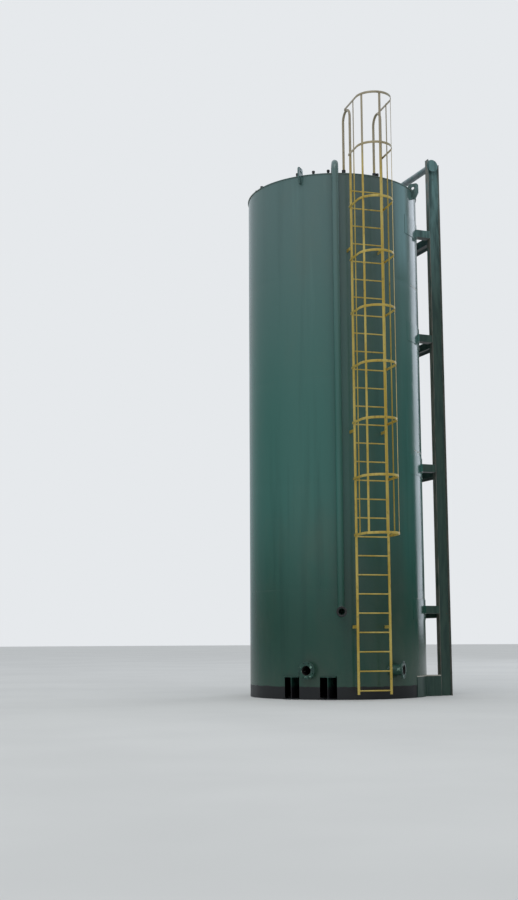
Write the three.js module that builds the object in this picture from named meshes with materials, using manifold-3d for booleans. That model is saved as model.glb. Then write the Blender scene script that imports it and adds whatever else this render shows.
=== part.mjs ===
// Upright steel storage tank on a transport skid, in millimetres, +Z up.
// The origin is on the tank's axis at ground level. The front, with the two
// base beam ends and the drain nozzle, faces -Y.
// An azimuth is an angle in degrees seen from above, from -Y towards +X.
import * as THREE from 'three';
import { mergeVertices } from 'three/addons/utils/BufferGeometryUtils.js';
import Module from 'manifold-3d';

const wasm = await Module();
wasm.setup();

// Tank body
const SHELL_RADIUS = 1505;
const SHELL_WALL = 6.4;
const SHELL_SIDES = 60;
const SHELL_COURSES = 5;
const RIM_HEIGHT = 8767;
const ROOF_THICKNESS = 12;
const ROOF_LIP = 12;
const FLOOR_THICKNESS = 10;
const FIT_GAP = 0.4;
// How far a cutting shape runs past what it cuts
const OVERCUT = 50;

// Faces round each kind of round piece
const ROUND_SIDES = 24;
const HATCH_SIDES = 32;
const PIPE_SIDES = 14;
const SOCKET_SIDES = 12;
const RAIL_SIDES = 10;
const RUNG_SIDES = 6;
const BEND_STEPS = 5;
const HOOP_STEPS = 12;

// Base beams under the floor
const BASE_HEIGHT = 368;
const BEAM_SPACING = 620;
const BEAM_FLANGE = 254;
const BEAM_WEB = 10;
const BEAM_FLANGE_THICKNESS = 16;
const BEAM_FRONT = -1505;
const BEAM_BACK = 1400;
const TIE_FLANGE = 150;

// Transport skid: two upright runners tied to the shell
const SKID_AZIMUTH = 134;
const POST_SPACING = 1710;
const POST_INNER_FACE = 1490;
const POST_DEPTH = 220;
const POST_FLANGE = 110;
const POST_FLANGE_THICKNESS = 9.2;
const POST_WEB = 5.9;
const POST_TOP = 9490;
const POST_CHAMFER_WIDTH = 110;
const POST_CHAMFER_HEIGHT = 90;
const STRUT_TOPS = [1510, 3940, 6240, 8140];
const STRUT_HEIGHT = 130;
const STRUT_WIDTH = 150;
const BASE_STRUT_HEIGHT = 350;
const STRUT_PLATE = 10;
const STRUT_START = SHELL_RADIUS / 2;
const PAD_THICKNESS = 8;
const PAD_REACH = 390;
const PAD_MARGIN = 105;
const CROSS_HEIGHT = 130;
const CROSS_DEPTH = 200;
const CROSS_DROP = 70;
const CROSS_SETBACK = 2;
const ROLL_PIPE_RADIUS = 57;
const ROLL_PIPE_HEIGHT = 9370;
const ROLL_PIPE_AXIS = 1570;
const ROLL_DISC_RADIUS = 110;
const ROLL_DISC_THICKNESS = 12;

// Lifting lugs at the rim
const LUG_AZIMUTH = -2.2;
const LUG_THICKNESS = 25;
const LUG_HOLE_RADIUS = 27;
const LUG_HOLE_HEIGHT = 8815;
const LUG_BOTTOM = 8612;
const LUG_TOP = 8896;
const LUG_FOOT = 65;
const LUG_REACH = 120;
const LUG_SLOPE = 105;
const LUG_CORNER = 30;
const LUG_HOLE_OFFSET = 20;

// Caged ladder
const LADDER_AZIMUTH = 38;
const RAIL_DISTANCE = 1703;
const RAIL_SPACING = 554;
const RAIL_RADIUS = 21;
const RAIL_BOTTOM = 87;
const RAIL_JOIN = 8760;
const RUNG_RADIUS = 11;
const RUNG_FIRST = 147;
const RUNG_STEP = 304.8;
const RUNG_COUNT = 28;
const GOOSENECK_RADIUS = 160;
const GOOSENECK_TOP = 9850;
const BRACKET_HEIGHTS = [1150, 4320, 7400];
const BRACKET_WIDTH = 50;
const BRACKET_THICKNESS = 10;

// Safety cage
const HOOP_COUNT = 9;
const HOOP_FIRST = 2609;
const HOOP_STEP = 914.4;
const HOOP_STRAIGHT = 355;
const TOP_HOOP_RISE = 24;
const CAGE_BAR_WIDTH = 40;
const CAGE_BAR_THICKNESS = 6;
const CAGE_SIDE_BAR = 215;
const CAGE_CORNER_ANGLE = 60;
const HOOPS_PER_PANEL = 3;
const HOOP_LAP = 30;

// Fill pipe, nozzles and roof fittings
const PIPE_AZIMUTH = 20.3;
const PIPE_RADIUS = 57.15;
const PIPE_BORE = 51;
const PIPE_DISTANCE = 1582;
const PIPE_BEND = 152;
const PIPE_BEND_START = 8808;
const PIPE_JOIN = 1600;
const STANDOFF_HEIGHTS = [2300, 5100, 7900];
const STANDOFF_WIDTH = 40;
const STANDOFF_DEPTH = 60;
const INLET_HEIGHT = 1390;
const INLET_BEND = 105;
const INLET_REACH = 165;
const INLET_COLLAR_RADIUS = 84;
const INLET_COLLAR_LENGTH = 38;
const INLET_COLLAR_PROUD = 2;
const NOZZLE_PIPE_RADIUS = 84.15;
const NOZZLE_BORE = 77;
const NOZZLE_HEIGHT = 463;
const NOZZLE_FACE = 1655;
const NOZZLE_FLANGE_RADIUS = 139.7;
const NOZZLE_FLANGE_THICKNESS = 25.4;
const NOZZLE_INSIDE = 60;
const SIDE_NOZZLE_Y = -890;
const SIDE_NOZZLE_FACE = 1406;
const SOCKET_RADIUS = 26;
const SOCKET_HEIGHT = 90;
const SOCKET_DISTANCE = 1415;
const SOCKET_AZIMUTHS = [-51.8, -42.1, -6.2, 5.6, 15.9, 51.8, 128.2, 137.9, 173.8, 185.6, 195.9, 231.8];
const FOOT_SOCKET_RADIUS = 33;
const FOOT_SOCKET_HEIGHT = 85;
const HATCH_RADIUS = 255;
const HATCH_NECK_HEIGHT = 90;
const HATCH_LID_RADIUS = 285;
const HATCH_LID_THICKNESS = 14;
const HATCH_AZIMUTH = 70;
const HATCH_DISTANCE = 850;

const TANK_GREEN = new THREE.MeshStandardMaterial({ color: 0x1f5f55, roughness: 0.38, metalness: 0.0 });
const SKID_GREEN = new THREE.MeshStandardMaterial({ color: 0x24453c, roughness: 0.6, metalness: 0.0 });
const LADDER_YELLOW = new THREE.MeshStandardMaterial({ color: 0xc59a2c, roughness: 0.5, metalness: 0.0 });

const part = new THREE.Group();
const radians = THREE.MathUtils.degToRad;

// Solids and meshes
function toSolid(geometry) {
  const bare = geometry.clone();
  bare.deleteAttribute('normal');
  bare.deleteAttribute('uv');
  const merged = mergeVertices(bare, 0.001);
  return new wasm.Manifold(new wasm.Mesh({
    numProp: 3,
    vertProperties: new Float32Array(merged.attributes.position.array),
    triVerts: new Uint32Array(merged.index.array),
  }));
}

function toGeometry(solid) {
  const mesh = solid.getMesh();
  const geometry = new THREE.BufferGeometry();
  geometry.setAttribute('position', new THREE.BufferAttribute(mesh.vertProperties, 3));
  geometry.setIndex(new THREE.BufferAttribute(mesh.triVerts, 1));
  geometry.computeVertexNormals();
  return geometry;
}

function addMesh(parent, name, geometry, material) {
  const mesh = new THREE.Mesh(geometry, material.clone());
  mesh.name = name;
  parent.add(mesh);
  return mesh;
}

function groupAt(azimuth) {
  const group = new THREE.Group();
  group.rotation.z = radians(azimuth);
  part.add(group);
  return group;
}

// Basic shapes
function box(x0, x1, y0, y1, z0, z1) {
  const geometry = new THREE.BoxGeometry(x1 - x0, y1 - y0, z1 - z0);
  geometry.translate((x0 + x1) / 2, (y0 + y1) / 2, (z0 + z1) / 2);
  return geometry;
}

function polygonPoints(radius, sides) {
  const points = [];
  for (let i = 0; i < sides; i += 1) {
    const angle = (i * 2 * Math.PI) / sides;
    points.push(new THREE.Vector2(radius * Math.cos(angle), radius * Math.sin(angle)));
  }
  return points;
}

function prism(points, z0, z1, holes = []) {
  const shape = new THREE.Shape(points);
  holes.forEach((hole) => shape.holes.push(new THREE.Path(hole)));
  const geometry = new THREE.ExtrudeGeometry(shape, { depth: z1 - z0, bevelEnabled: false });
  geometry.translate(0, 0, z0);
  return geometry;
}

function disc(radius, sides, z0, z1) {
  return prism(polygonPoints(radius, sides), z0, z1);
}

function upright(x, y, radius, sides, z0, z1) {
  const geometry = disc(radius, sides, z0, z1);
  geometry.translate(x, y, 0);
  return geometry;
}

// A cylinder along Y, from y0 to y1
function alongY(x, z, radius, sides, y0, y1) {
  const geometry = disc(radius, sides, y0, y1);
  geometry.rotateX(-Math.PI / 2);
  geometry.translate(x, 0, z);
  return geometry;
}

// A cylinder along X, from x0 to x1
function alongX(y, z, radius, sides, x0, x1) {
  const geometry = disc(radius, sides, x0, x1);
  geometry.rotateY(Math.PI / 2);
  geometry.translate(0, y, z);
  return geometry;
}

// A profile given as x and z, given thickness along Y
function sideProfile(pairs, y0, y1) {
  const points = pairs.map(([x, z]) => new THREE.Vector2(x, z));
  const geometry = prism(points, 0, y1 - y0);
  geometry.rotateX(Math.PI / 2);
  geometry.translate(0, y1, 0);
  return geometry;
}

// A section drawn as x and y, laid so that it runs along Y with its x upwards
function layAlongY(geometry) {
  const up = new THREE.Vector3(0, 0, 1);
  const across = new THREE.Vector3(1, 0, 0);
  const along = new THREE.Vector3(0, 1, 0);
  return geometry.applyMatrix4(new THREE.Matrix4().makeBasis(up, across, along));
}

// A section drawn as y and z, laid so that it runs along X
function layAlongX(geometry) {
  const across = new THREE.Vector3(0, 1, 0);
  const up = new THREE.Vector3(0, 0, 1);
  const along = new THREE.Vector3(1, 0, 0);
  return geometry.applyMatrix4(new THREE.Matrix4().makeBasis(across, up, along));
}

// A route through stations, each a point and its direction, one step apart
class StationPath extends THREE.Curve {
  constructor(stations) {
    super();
    this.stations = stations;
  }

  stationAt(t) {
    return this.stations[Math.round(t * (this.stations.length - 1))];
  }

  getPoint(t, target = new THREE.Vector3()) {
    return target.copy(this.stationAt(t).point);
  }

  getPointAt(t, target) {
    return this.getPoint(t, target);
  }

  getTangentAt(t, target = new THREE.Vector3()) {
    return target.copy(this.stationAt(t).direction);
  }
}

// Straight runs between corners, each corner rounded to the same bend radius
function bentRoute(corners, bendRadius, bendSteps) {
  const points = corners.map((corner) => new THREE.Vector3(...corner));
  const stations = [];
  const push = (point, direction) => {
    const last = stations[stations.length - 1];
    if (!last || last.point.distanceTo(point) > 0.01) stations.push({ point, direction });
  };
  push(points[0], points[1].clone().sub(points[0]).normalize());
  for (let i = 1; i < points.length - 1; i += 1) {
    const before = points[i].clone().sub(points[i - 1]).normalize();
    const after = points[i + 1].clone().sub(points[i]).normalize();
    const turn = before.angleTo(after);
    const inward = after.clone().addScaledVector(before, -before.dot(after)).normalize();
    const start = points[i].clone().addScaledVector(before, -bendRadius * Math.tan(turn / 2));
    const centre = start.addScaledVector(inward, bendRadius);
    for (let step = 0; step <= bendSteps; step += 1) {
      const angle = (turn * step) / bendSteps;
      const point = centre.clone().addScaledVector(inward, -bendRadius * Math.cos(angle));
      point.addScaledVector(before, bendRadius * Math.sin(angle));
      const direction = before.clone().multiplyScalar(Math.cos(angle));
      push(point, direction.addScaledVector(inward, Math.sin(angle)).normalize());
    }
  }
  const end = points[points.length - 1];
  push(end, end.clone().sub(points[points.length - 2]).normalize());
  return new StationPath(stations);
}

// A bar or, with a bore, a pipe that follows a bent route
function bentPipe(corners, bendRadius, bendSteps, radius, sides, bore = 0) {
  const route = bentRoute(corners, bendRadius, bendSteps);
  const shape = new THREE.Shape(polygonPoints(radius, sides));
  if (bore > 0) shape.holes.push(new THREE.Path(polygonPoints(bore, sides)));
  const steps = route.stations.length - 1;
  return new THREE.ExtrudeGeometry(shape, { steps, bevelEnabled: false, extrudePath: route });
}

function fuse(solids) {
  return solids.reduce((sum, solid) => sum.add(solid));
}

// The outside of the shell, grown by the fit gap, as seen inside a turned group
function shellCutter(turn, z1 = RIM_HEIGHT + FIT_GAP) {
  const geometry = disc(SHELL_RADIUS + FIT_GAP, SHELL_SIDES, -OVERCUT, z1);
  geometry.rotateZ(-turn);
  return toSolid(geometry);
}

function atAzimuth(azimuth, distance) {
  return [distance * Math.sin(radians(azimuth)), -distance * Math.cos(radians(azimuth))];
}

// Shell courses: rolled plate rings, the lowest one cut for beams and nozzles
function addShell() {
  const height = (RIM_HEIGHT - ROOF_THICKNESS) / SHELL_COURSES;
  const inner = polygonPoints(SHELL_RADIUS - SHELL_WALL, SHELL_SIDES);
  for (let i = 0; i < SHELL_COURSES; i += 1) {
    const outer = polygonPoints(SHELL_RADIUS, SHELL_SIDES);
    let ring = prism(outer, i * height, (i + 1) * height, [inner]);
    if (i === 0) ring = cutBottomCourse(ring);
    addMesh(part, `shell_course_${i + 1}`, ring, TANK_GREEN);
  }
}

function cutBottomCourse(ring) {
  let solid = toSolid(ring);
  const reach = SHELL_RADIUS + OVERCUT;
  const half = BEAM_FLANGE / 2 + FIT_GAP;
  for (const side of [-1, 1]) {
    const x = (side * BEAM_SPACING) / 2;
    solid = solid.subtract(toSolid(box(x - half, x + half, -reach, 0, -OVERCUT, BASE_HEIGHT + FIT_GAP)));
  }
  const hole = NOZZLE_PIPE_RADIUS + FIT_GAP;
  solid = solid.subtract(toSolid(alongY(0, NOZZLE_HEIGHT, hole, ROUND_SIDES, -reach, 0)));
  solid = solid.subtract(toSolid(alongX(SIDE_NOZZLE_Y, NOZZLE_HEIGHT, hole, ROUND_SIDES, 0, reach)));
  return toGeometry(solid);
}

function addFloor() {
  const radius = SHELL_RADIUS - SHELL_WALL - FIT_GAP;
  const floor = disc(radius, SHELL_SIDES, BASE_HEIGHT, BASE_HEIGHT + FLOOR_THICKNESS);
  addMesh(part, 'floor_plate', floor, TANK_GREEN);
}

// Roof: a flat plate with a lip, handrail sockets and the two ladder feet
function addRoof() {
  const under = RIM_HEIGHT - ROOF_THICKNESS;
  const middle = RIM_HEIGHT - ROOF_THICKNESS / 2;
  const solids = [toSolid(disc(SHELL_RADIUS + ROOF_LIP, SHELL_SIDES, under, RIM_HEIGHT))];
  for (const azimuth of SOCKET_AZIMUTHS) {
    const [x, y] = atAzimuth(azimuth, SOCKET_DISTANCE);
    solids.push(toSolid(upright(x, y, SOCKET_RADIUS, SOCKET_SIDES, middle, RIM_HEIGHT + SOCKET_HEIGHT)));
  }
  const footY = -(RAIL_DISTANCE - 2 * GOOSENECK_RADIUS);
  for (const side of [-1, 1]) {
    const x = (side * RAIL_SPACING) / 2;
    const foot = upright(x, footY, FOOT_SOCKET_RADIUS, SOCKET_SIDES, middle, RIM_HEIGHT + FOOT_SOCKET_HEIGHT);
    foot.rotateZ(radians(LADDER_AZIMUTH));
    solids.push(toSolid(foot));
  }
  const [pipeX, pipeY] = atAzimuth(PIPE_AZIMUTH, PIPE_DISTANCE - 2 * PIPE_BEND);
  const hole = toSolid(upright(pipeX, pipeY, PIPE_BORE, PIPE_SIDES, under - OVERCUT, RIM_HEIGHT + OVERCUT));
  addMesh(part, 'roof_plate', toGeometry(fuse(solids).subtract(hole)), TANK_GREEN);
}

function addHatch() {
  const [x, y] = atAzimuth(HATCH_AZIMUTH, HATCH_DISTANCE);
  const lidUnder = RIM_HEIGHT + HATCH_NECK_HEIGHT;
  const lidTop = lidUnder + HATCH_LID_THICKNESS;
  const neck = toSolid(upright(x, y, HATCH_RADIUS, HATCH_SIDES, RIM_HEIGHT, lidTop));
  const lid = toSolid(upright(x, y, HATCH_LID_RADIUS, HATCH_SIDES, lidUnder, lidTop));
  addMesh(part, 'roof_hatch', toGeometry(neck.add(lid)), TANK_GREEN);
}

// An I-section seen along its length, centred at x and y, web across x
function iSection(x, y, depth, flange, flangeThickness, web) {
  const halfDepth = depth / 2;
  const halfFlange = flange / 2;
  const halfWeb = web / 2;
  const inside = halfDepth - flangeThickness;
  const corner = [
    [-halfDepth, -halfFlange], [-inside, -halfFlange], [-inside, -halfWeb], [inside, -halfWeb],
    [inside, -halfFlange], [halfDepth, -halfFlange], [halfDepth, halfFlange], [inside, halfFlange],
    [inside, halfWeb], [-inside, halfWeb], [-inside, halfFlange], [-halfDepth, halfFlange],
  ];
  return corner.map(([px, py]) => new THREE.Vector2(x + px, y + py));
}

function addBaseBeams() {
  const section = iSection(0, 0, BASE_HEIGHT, BEAM_FLANGE, BEAM_FLANGE_THICKNESS, BEAM_WEB);
  for (const [name, side] of [['base_beam_left', -1], ['base_beam_right', 1]]) {
    const beam = layAlongY(prism(section, BEAM_FRONT, BEAM_BACK));
    beam.translate((side * BEAM_SPACING) / 2, 0, BASE_HEIGHT / 2);
    addMesh(part, name, beam, TANK_GREEN);
  }
  const tieReach = BEAM_SPACING / 2 - BEAM_FLANGE / 2 - FIT_GAP;
  const tieSection = iSection(0, 0, BASE_HEIGHT, TIE_FLANGE, BEAM_FLANGE_THICKNESS, BEAM_WEB);
  const tie = layAlongY(prism(tieSection, -tieReach, tieReach));
  tie.rotateZ(Math.PI / 2);
  tie.translate(0, 0, BASE_HEIGHT / 2);
  addMesh(part, 'base_tie', tie, TANK_GREEN);
}

// Skid: everything is drawn with +X pointing away from the tank, then turned
const SKID_TURN = radians(SKID_AZIMUTH - 90);
const POST_AXIS = POST_INNER_FACE + POST_DEPTH / 2;
const POST_OUTER_FACE = POST_INNER_FACE + POST_DEPTH;

function skidPost(y) {
  const section = iSection(POST_AXIS, y, POST_DEPTH, POST_FLANGE, POST_FLANGE_THICKNESS, POST_WEB);
  const slope = POST_CHAMFER_HEIGHT / POST_CHAMFER_WIDTH;
  const [y0, y1] = [y - POST_FLANGE, y + POST_FLANGE];
  const outline = [
    [POST_INNER_FACE - OVERCUT, -OVERCUT],
    [POST_OUTER_FACE + OVERCUT, -OVERCUT],
    [POST_OUTER_FACE + OVERCUT, POST_TOP - POST_CHAMFER_HEIGHT - OVERCUT * slope],
    [POST_OUTER_FACE - POST_CHAMFER_WIDTH, POST_TOP],
    [POST_INNER_FACE - OVERCUT, POST_TOP],
  ];
  const outside = toSolid(sideProfile(outline, y0, y1));
  const holeRadius = ROLL_PIPE_RADIUS + FIT_GAP;
  const hole = alongY(ROLL_PIPE_AXIS, ROLL_PIPE_HEIGHT, holeRadius, ROUND_SIDES, y0, y1);
  return toSolid(prism(section, 0, POST_TOP + OVERCUT)).intersect(outside).subtract(toSolid(hole));
}

// A channel from the shell to a post: its web is the outer face, at y = side * reach
function strut(side, top, height, padMargin) {
  const outer = POST_SPACING / 2 + POST_FLANGE / 2;
  const inner = outer - STRUT_WIDTH;
  const bottom = top - height;
  const profile = [
    [outer, bottom], [inner, bottom], [inner, bottom + STRUT_PLATE],
    [outer - STRUT_PLATE, bottom + STRUT_PLATE], [outer - STRUT_PLATE, top - STRUT_PLATE],
    [inner, top - STRUT_PLATE], [inner, top], [outer, top],
  ];
  const points = profile.map(([y, z]) => new THREE.Vector2(side * y, z));
  let solid = toSolid(layAlongX(prism(points, STRUT_START, POST_INNER_FACE - FIT_GAP)));
  if (padMargin > 0) {
    const padRadius = SHELL_RADIUS + FIT_GAP + PAD_THICKNESS;
    const pad = disc(padRadius, SHELL_SIDES, bottom - padMargin, top + padMargin);
    pad.rotateZ(-SKID_TURN);
    const ends = [side * (outer + PAD_REACH), side * (inner - PAD_MARGIN)];
    const y0 = Math.min(...ends);
    const y1 = Math.max(...ends);
    const zone = box(STRUT_START, SHELL_RADIUS + OVERCUT, y0, y1, bottom - padMargin, top + padMargin);
    solid = solid.add(toSolid(pad).intersect(toSolid(zone)));
  }
  return solid.subtract(shellCutter(SKID_TURN));
}

// An I-section laid flat across the two posts, just behind their outer faces
function crossMember(top, height) {
  const axis = POST_OUTER_FACE - CROSS_SETBACK - CROSS_DEPTH / 2;
  const section = iSection(axis, top - height / 2, CROSS_DEPTH, height, STRUT_PLATE, POST_FLANGE_THICKNESS);
  const reach = POST_SPACING / 2 - POST_FLANGE / 2 - FIT_GAP;
  return sideProfile(section.map((point) => [point.x, point.y]), -reach, reach);
}

function addSkid() {
  const skid = groupAt(SKID_AZIMUTH - 90);
  const sides = [['front', -1], ['rear', 1]];
  for (const [word, side] of sides) {
    const y = (side * POST_SPACING) / 2;
    addMesh(skid, `skid_post_${word}`, toGeometry(skidPost(y)), SKID_GREEN);
    const baseStrut = strut(side, BASE_STRUT_HEIGHT, BASE_STRUT_HEIGHT, 0);
    addMesh(skid, `base_strut_${word}`, toGeometry(baseStrut), SKID_GREEN);
    STRUT_TOPS.forEach((top, i) => {
      const solid = strut(side, top, STRUT_HEIGHT, PAD_MARGIN);
      addMesh(skid, `strut_${word}_${i + 1}`, toGeometry(solid), SKID_GREEN);
    });
  }
  addMesh(skid, 'cross_member_base', crossMember(CROSS_HEIGHT, CROSS_HEIGHT), SKID_GREEN);
  STRUT_TOPS.forEach((top, i) => {
    addMesh(skid, `cross_member_${i + 1}`, crossMember(top - CROSS_DROP, CROSS_HEIGHT), SKID_GREEN);
  });
  addMesh(skid, 'roll_pipe', toGeometry(rollPipe()), SKID_GREEN);
}

// A pipe through both posts, with a round plate on each end
function rollPipe() {
  const along = (radius, y0, y1) => (
    toSolid(alongY(ROLL_PIPE_AXIS, ROLL_PIPE_HEIGHT, radius, ROUND_SIDES, y0, y1)));
  const end = POST_SPACING / 2 + POST_FLANGE / 2 + FIT_GAP;
  const face = end + ROLL_DISC_THICKNESS;
  const solids = [along(ROLL_PIPE_RADIUS, -end, end)];
  solids.push(along(ROLL_DISC_RADIUS, -face, -end), along(ROLL_DISC_RADIUS, end, face));
  return fuse(solids);
}

// Lifting lugs: radial plates notched over the rim, drawn with +X outwards
function addLugs() {
  ['front', 'right', 'back', 'left'].forEach((word, i) => {
    const turn = LUG_AZIMUTH + 90 * i - 90;
    const outline = [
      [SHELL_RADIUS - LUG_FOOT, LUG_BOTTOM],
      [SHELL_RADIUS + LUG_FOOT, LUG_BOTTOM],
      [SHELL_RADIUS + LUG_REACH, LUG_BOTTOM + LUG_SLOPE],
      [SHELL_RADIUS + LUG_REACH, LUG_TOP - LUG_CORNER],
      [SHELL_RADIUS + LUG_REACH - LUG_CORNER, LUG_TOP],
      [SHELL_RADIUS - LUG_FOOT + LUG_CORNER, LUG_TOP],
      [SHELL_RADIUS - LUG_FOOT, LUG_TOP - LUG_CORNER],
    ];
    const half = LUG_THICKNESS / 2;
    const lip = disc(SHELL_RADIUS + ROOF_LIP + FIT_GAP, SHELL_SIDES,
      RIM_HEIGHT - ROOF_THICKNESS - FIT_GAP, RIM_HEIGHT + FIT_GAP);
    lip.rotateZ(-radians(turn));
    const holeX = SHELL_RADIUS + LUG_HOLE_OFFSET;
    const hole = alongY(holeX, LUG_HOLE_HEIGHT, LUG_HOLE_RADIUS, ROUND_SIDES, -OVERCUT, OVERCUT);
    const plate = toSolid(sideProfile(outline, -half, half)).subtract(shellCutter(radians(turn)));
    const solid = plate.subtract(toSolid(lip)).subtract(toSolid(hole));
    addMesh(groupAt(turn), `lifting_lug_${word}`, toGeometry(solid), TANK_GREEN);
  });
}

// Ladder, drawn with -Y pointing away from the tank, then turned
function addLadder() {
  const group = groupAt(LADDER_AZIMUTH);
  const half = RAIL_SPACING / 2;
  const solids = [];
  for (const side of [-1, 1]) {
    const x = side * half;
    solids.push(toSolid(upright(x, -RAIL_DISTANCE, RAIL_RADIUS, RAIL_SIDES, RAIL_BOTTOM, RAIL_JOIN)));
  }
  for (let i = 0; i < RUNG_COUNT; i += 1) {
    const z = RUNG_FIRST + i * RUNG_STEP;
    solids.push(toSolid(alongX(-RAIL_DISTANCE, z, RUNG_RADIUS, RUNG_SIDES, -half, half)));
  }
  addMesh(group, 'ladder', toGeometry(fuse(solids)), LADDER_YELLOW);
  const legY = -(RAIL_DISTANCE - 2 * GOOSENECK_RADIUS);
  for (const [name, side] of [['gooseneck_left', -1], ['gooseneck_right', 1]]) {
    const x = side * half;
    const corners = [
      [x, -RAIL_DISTANCE, RAIL_JOIN + FIT_GAP],
      [x, -RAIL_DISTANCE, GOOSENECK_TOP],
      [x, legY, GOOSENECK_TOP],
      [x, legY, RIM_HEIGHT + FOOT_SOCKET_HEIGHT + FIT_GAP],
    ];
    const bar = bentPipe(corners, GOOSENECK_RADIUS, BEND_STEPS, RAIL_RADIUS, RAIL_SIDES);
    addMesh(group, name, bar, LADDER_YELLOW);
  }
  addBrackets(group);
  addCage(group);
}

// Flat arms from the backs of the rails to the shell
function addBrackets(group) {
  const railBack = -(RAIL_DISTANCE - RAIL_RADIUS * Math.cos(Math.PI / RAIL_SIDES)) + FIT_GAP;
  const halfWidth = BRACKET_WIDTH / 2;
  const halfThickness = BRACKET_THICKNESS / 2;
  for (const [word, side] of [['left', -1], ['right', 1]]) {
    const x = (side * RAIL_SPACING) / 2;
    BRACKET_HEIGHTS.forEach((z, i) => {
      const arm = box(x - halfThickness, x + halfThickness, railBack, -(SHELL_RADIUS - OVERCUT),
        z - halfWidth, z + halfWidth);
      const solid = toSolid(arm).subtract(shellCutter(radians(LADDER_AZIMUTH)));
      addMesh(group, `ladder_bracket_${word}_${i + 1}`, toGeometry(solid), LADDER_YELLOW);
    });
  }
}

// Cage hoop: a flat bar bent to a U, its ends level with the rails
function hoop(height, backY) {
  const inside = RAIL_SPACING / 2 + RAIL_RADIUS + FIT_GAP;
  const centreY = -(RAIL_DISTANCE + HOOP_STRAIGHT);
  const arc = (radius, from, to) => {
    const points = [];
    for (let i = 0; i <= HOOP_STEPS; i += 1) {
      const angle = from + ((to - from) * i) / HOOP_STEPS;
      points.push(new THREE.Vector2(radius * Math.cos(angle), centreY + radius * Math.sin(angle)));
    }
    return points;
  };
  const outside = inside + CAGE_BAR_THICKNESS;
  const points = [
    new THREE.Vector2(-outside, backY), ...arc(outside, -Math.PI, 0), new THREE.Vector2(outside, backY),
    new THREE.Vector2(inside, backY), ...arc(inside, 0, -Math.PI), new THREE.Vector2(-inside, backY),
  ];
  return toSolid(prism(points, height - CAGE_BAR_WIDTH / 2, height + CAGE_BAR_WIDTH / 2));
}

function cageBars(z0, z1) {
  const inside = RAIL_SPACING / 2 + RAIL_RADIUS + FIT_GAP;
  const outer = inside + CAGE_BAR_THICKNESS / 4;
  const inner = outer - CAGE_BAR_THICKNESS;
  const half = CAGE_BAR_WIDTH / 2;
  const centreY = -(RAIL_DISTANCE + HOOP_STRAIGHT);
  const bars = [];
  for (const angle of [-CAGE_CORNER_ANGLE, 0, CAGE_CORNER_ANGLE]) {
    const bar = box(-half, half, -outer, -inner, z0, z1);
    bar.rotateZ(radians(angle));
    bar.translate(0, centreY, 0);
    bars.push(toSolid(bar));
  }
  const sideY = -(RAIL_DISTANCE + CAGE_SIDE_BAR);
  bars.push(toSolid(box(inner, outer, sideY - half, sideY + half, z0, z1)));
  bars.push(toSolid(box(-outer, -inner, sideY - half, sideY + half, z0, z1)));
  return bars;
}

function addCage(group) {
  const names = ['cage_lower', 'cage_middle', 'cage_upper'];
  const heights = [];
  for (let i = 0; i < HOOP_COUNT - 1; i += 1) heights.push(HOOP_FIRST + i * HOOP_STEP);
  heights.push(GOOSENECK_TOP + TOP_HOOP_RISE);
  const halfBar = CAGE_BAR_WIDTH / 2;
  const topHoop = HOOP_COUNT - 1;
  const backs = heights.map((height, i) => {
    const reach = i === topHoop ? RAIL_DISTANCE - GOOSENECK_RADIUS : RAIL_DISTANCE;
    return -reach + HOOP_LAP;
  });
  names.forEach((name, panel) => {
    const first = panel * HOOPS_PER_PANEL;
    const last = first + HOOPS_PER_PANEL - 1;
    const below = panel === 0 ? heights[0] - halfBar : (heights[first - 1] + heights[first]) / 2;
    const above = last === topHoop ? heights[last] + halfBar : (heights[last] + heights[last + 1]) / 2;
    const solids = cageBars(below + (panel === 0 ? 0 : FIT_GAP), above);
    for (let i = first; i <= last; i += 1) solids.push(hoop(heights[i], backs[i]));
    addMesh(group, name, toGeometry(fuse(solids)), LADDER_YELLOW);
  });
}

// Fill pipe: up the shell, over the rim and down into the roof
function addFillPipe() {
  const group = groupAt(PIPE_AZIMUTH);
  const legY = -(PIPE_DISTANCE - 2 * PIPE_BEND);
  const top = PIPE_BEND_START + PIPE_BEND;
  const corners = [
    [0, -PIPE_DISTANCE, PIPE_JOIN + FIT_GAP],
    [0, -PIPE_DISTANCE, top],
    [0, legY, top],
    [0, legY, RIM_HEIGHT + FIT_GAP],
  ];
  const solids = [toSolid(bentPipe(corners, PIPE_BEND, BEND_STEPS, PIPE_RADIUS, PIPE_SIDES, PIPE_BORE))];
  const wallMiddle = (PIPE_RADIUS + PIPE_BORE) / 2;
  for (const z of STANDOFF_HEIGHTS) {
    const block = box(-STANDOFF_WIDTH / 2, STANDOFF_WIDTH / 2, -(PIPE_DISTANCE - wallMiddle),
      -(SHELL_RADIUS - OVERCUT), z - STANDOFF_DEPTH / 2, z + STANDOFF_DEPTH / 2);
    solids.push(toSolid(block).subtract(shellCutter(radians(PIPE_AZIMUTH))));
  }
  addMesh(group, 'fill_pipe', toGeometry(fuse(solids)), TANK_GREEN);
  const mouthY = -(PIPE_DISTANCE + INLET_REACH);
  const elbow = bentPipe([
    [0, mouthY, INLET_HEIGHT],
    [0, -PIPE_DISTANCE, INLET_HEIGHT],
    [0, -PIPE_DISTANCE, PIPE_JOIN],
  ], INLET_BEND, BEND_STEPS, PIPE_RADIUS, PIPE_SIDES, PIPE_BORE);
  const collarOutside = polygonPoints(INLET_COLLAR_RADIUS, ROUND_SIDES);
  const collarRing = prism(collarOutside, 0, INLET_COLLAR_LENGTH, [polygonPoints(wallMiddle, ROUND_SIDES)]);
  collarRing.rotateX(-Math.PI / 2);
  collarRing.translate(0, mouthY - INLET_COLLAR_PROUD, INLET_HEIGHT);
  addMesh(group, 'fill_inlet', toGeometry(toSolid(elbow).add(toSolid(collarRing))), TANK_GREEN);
}

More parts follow.
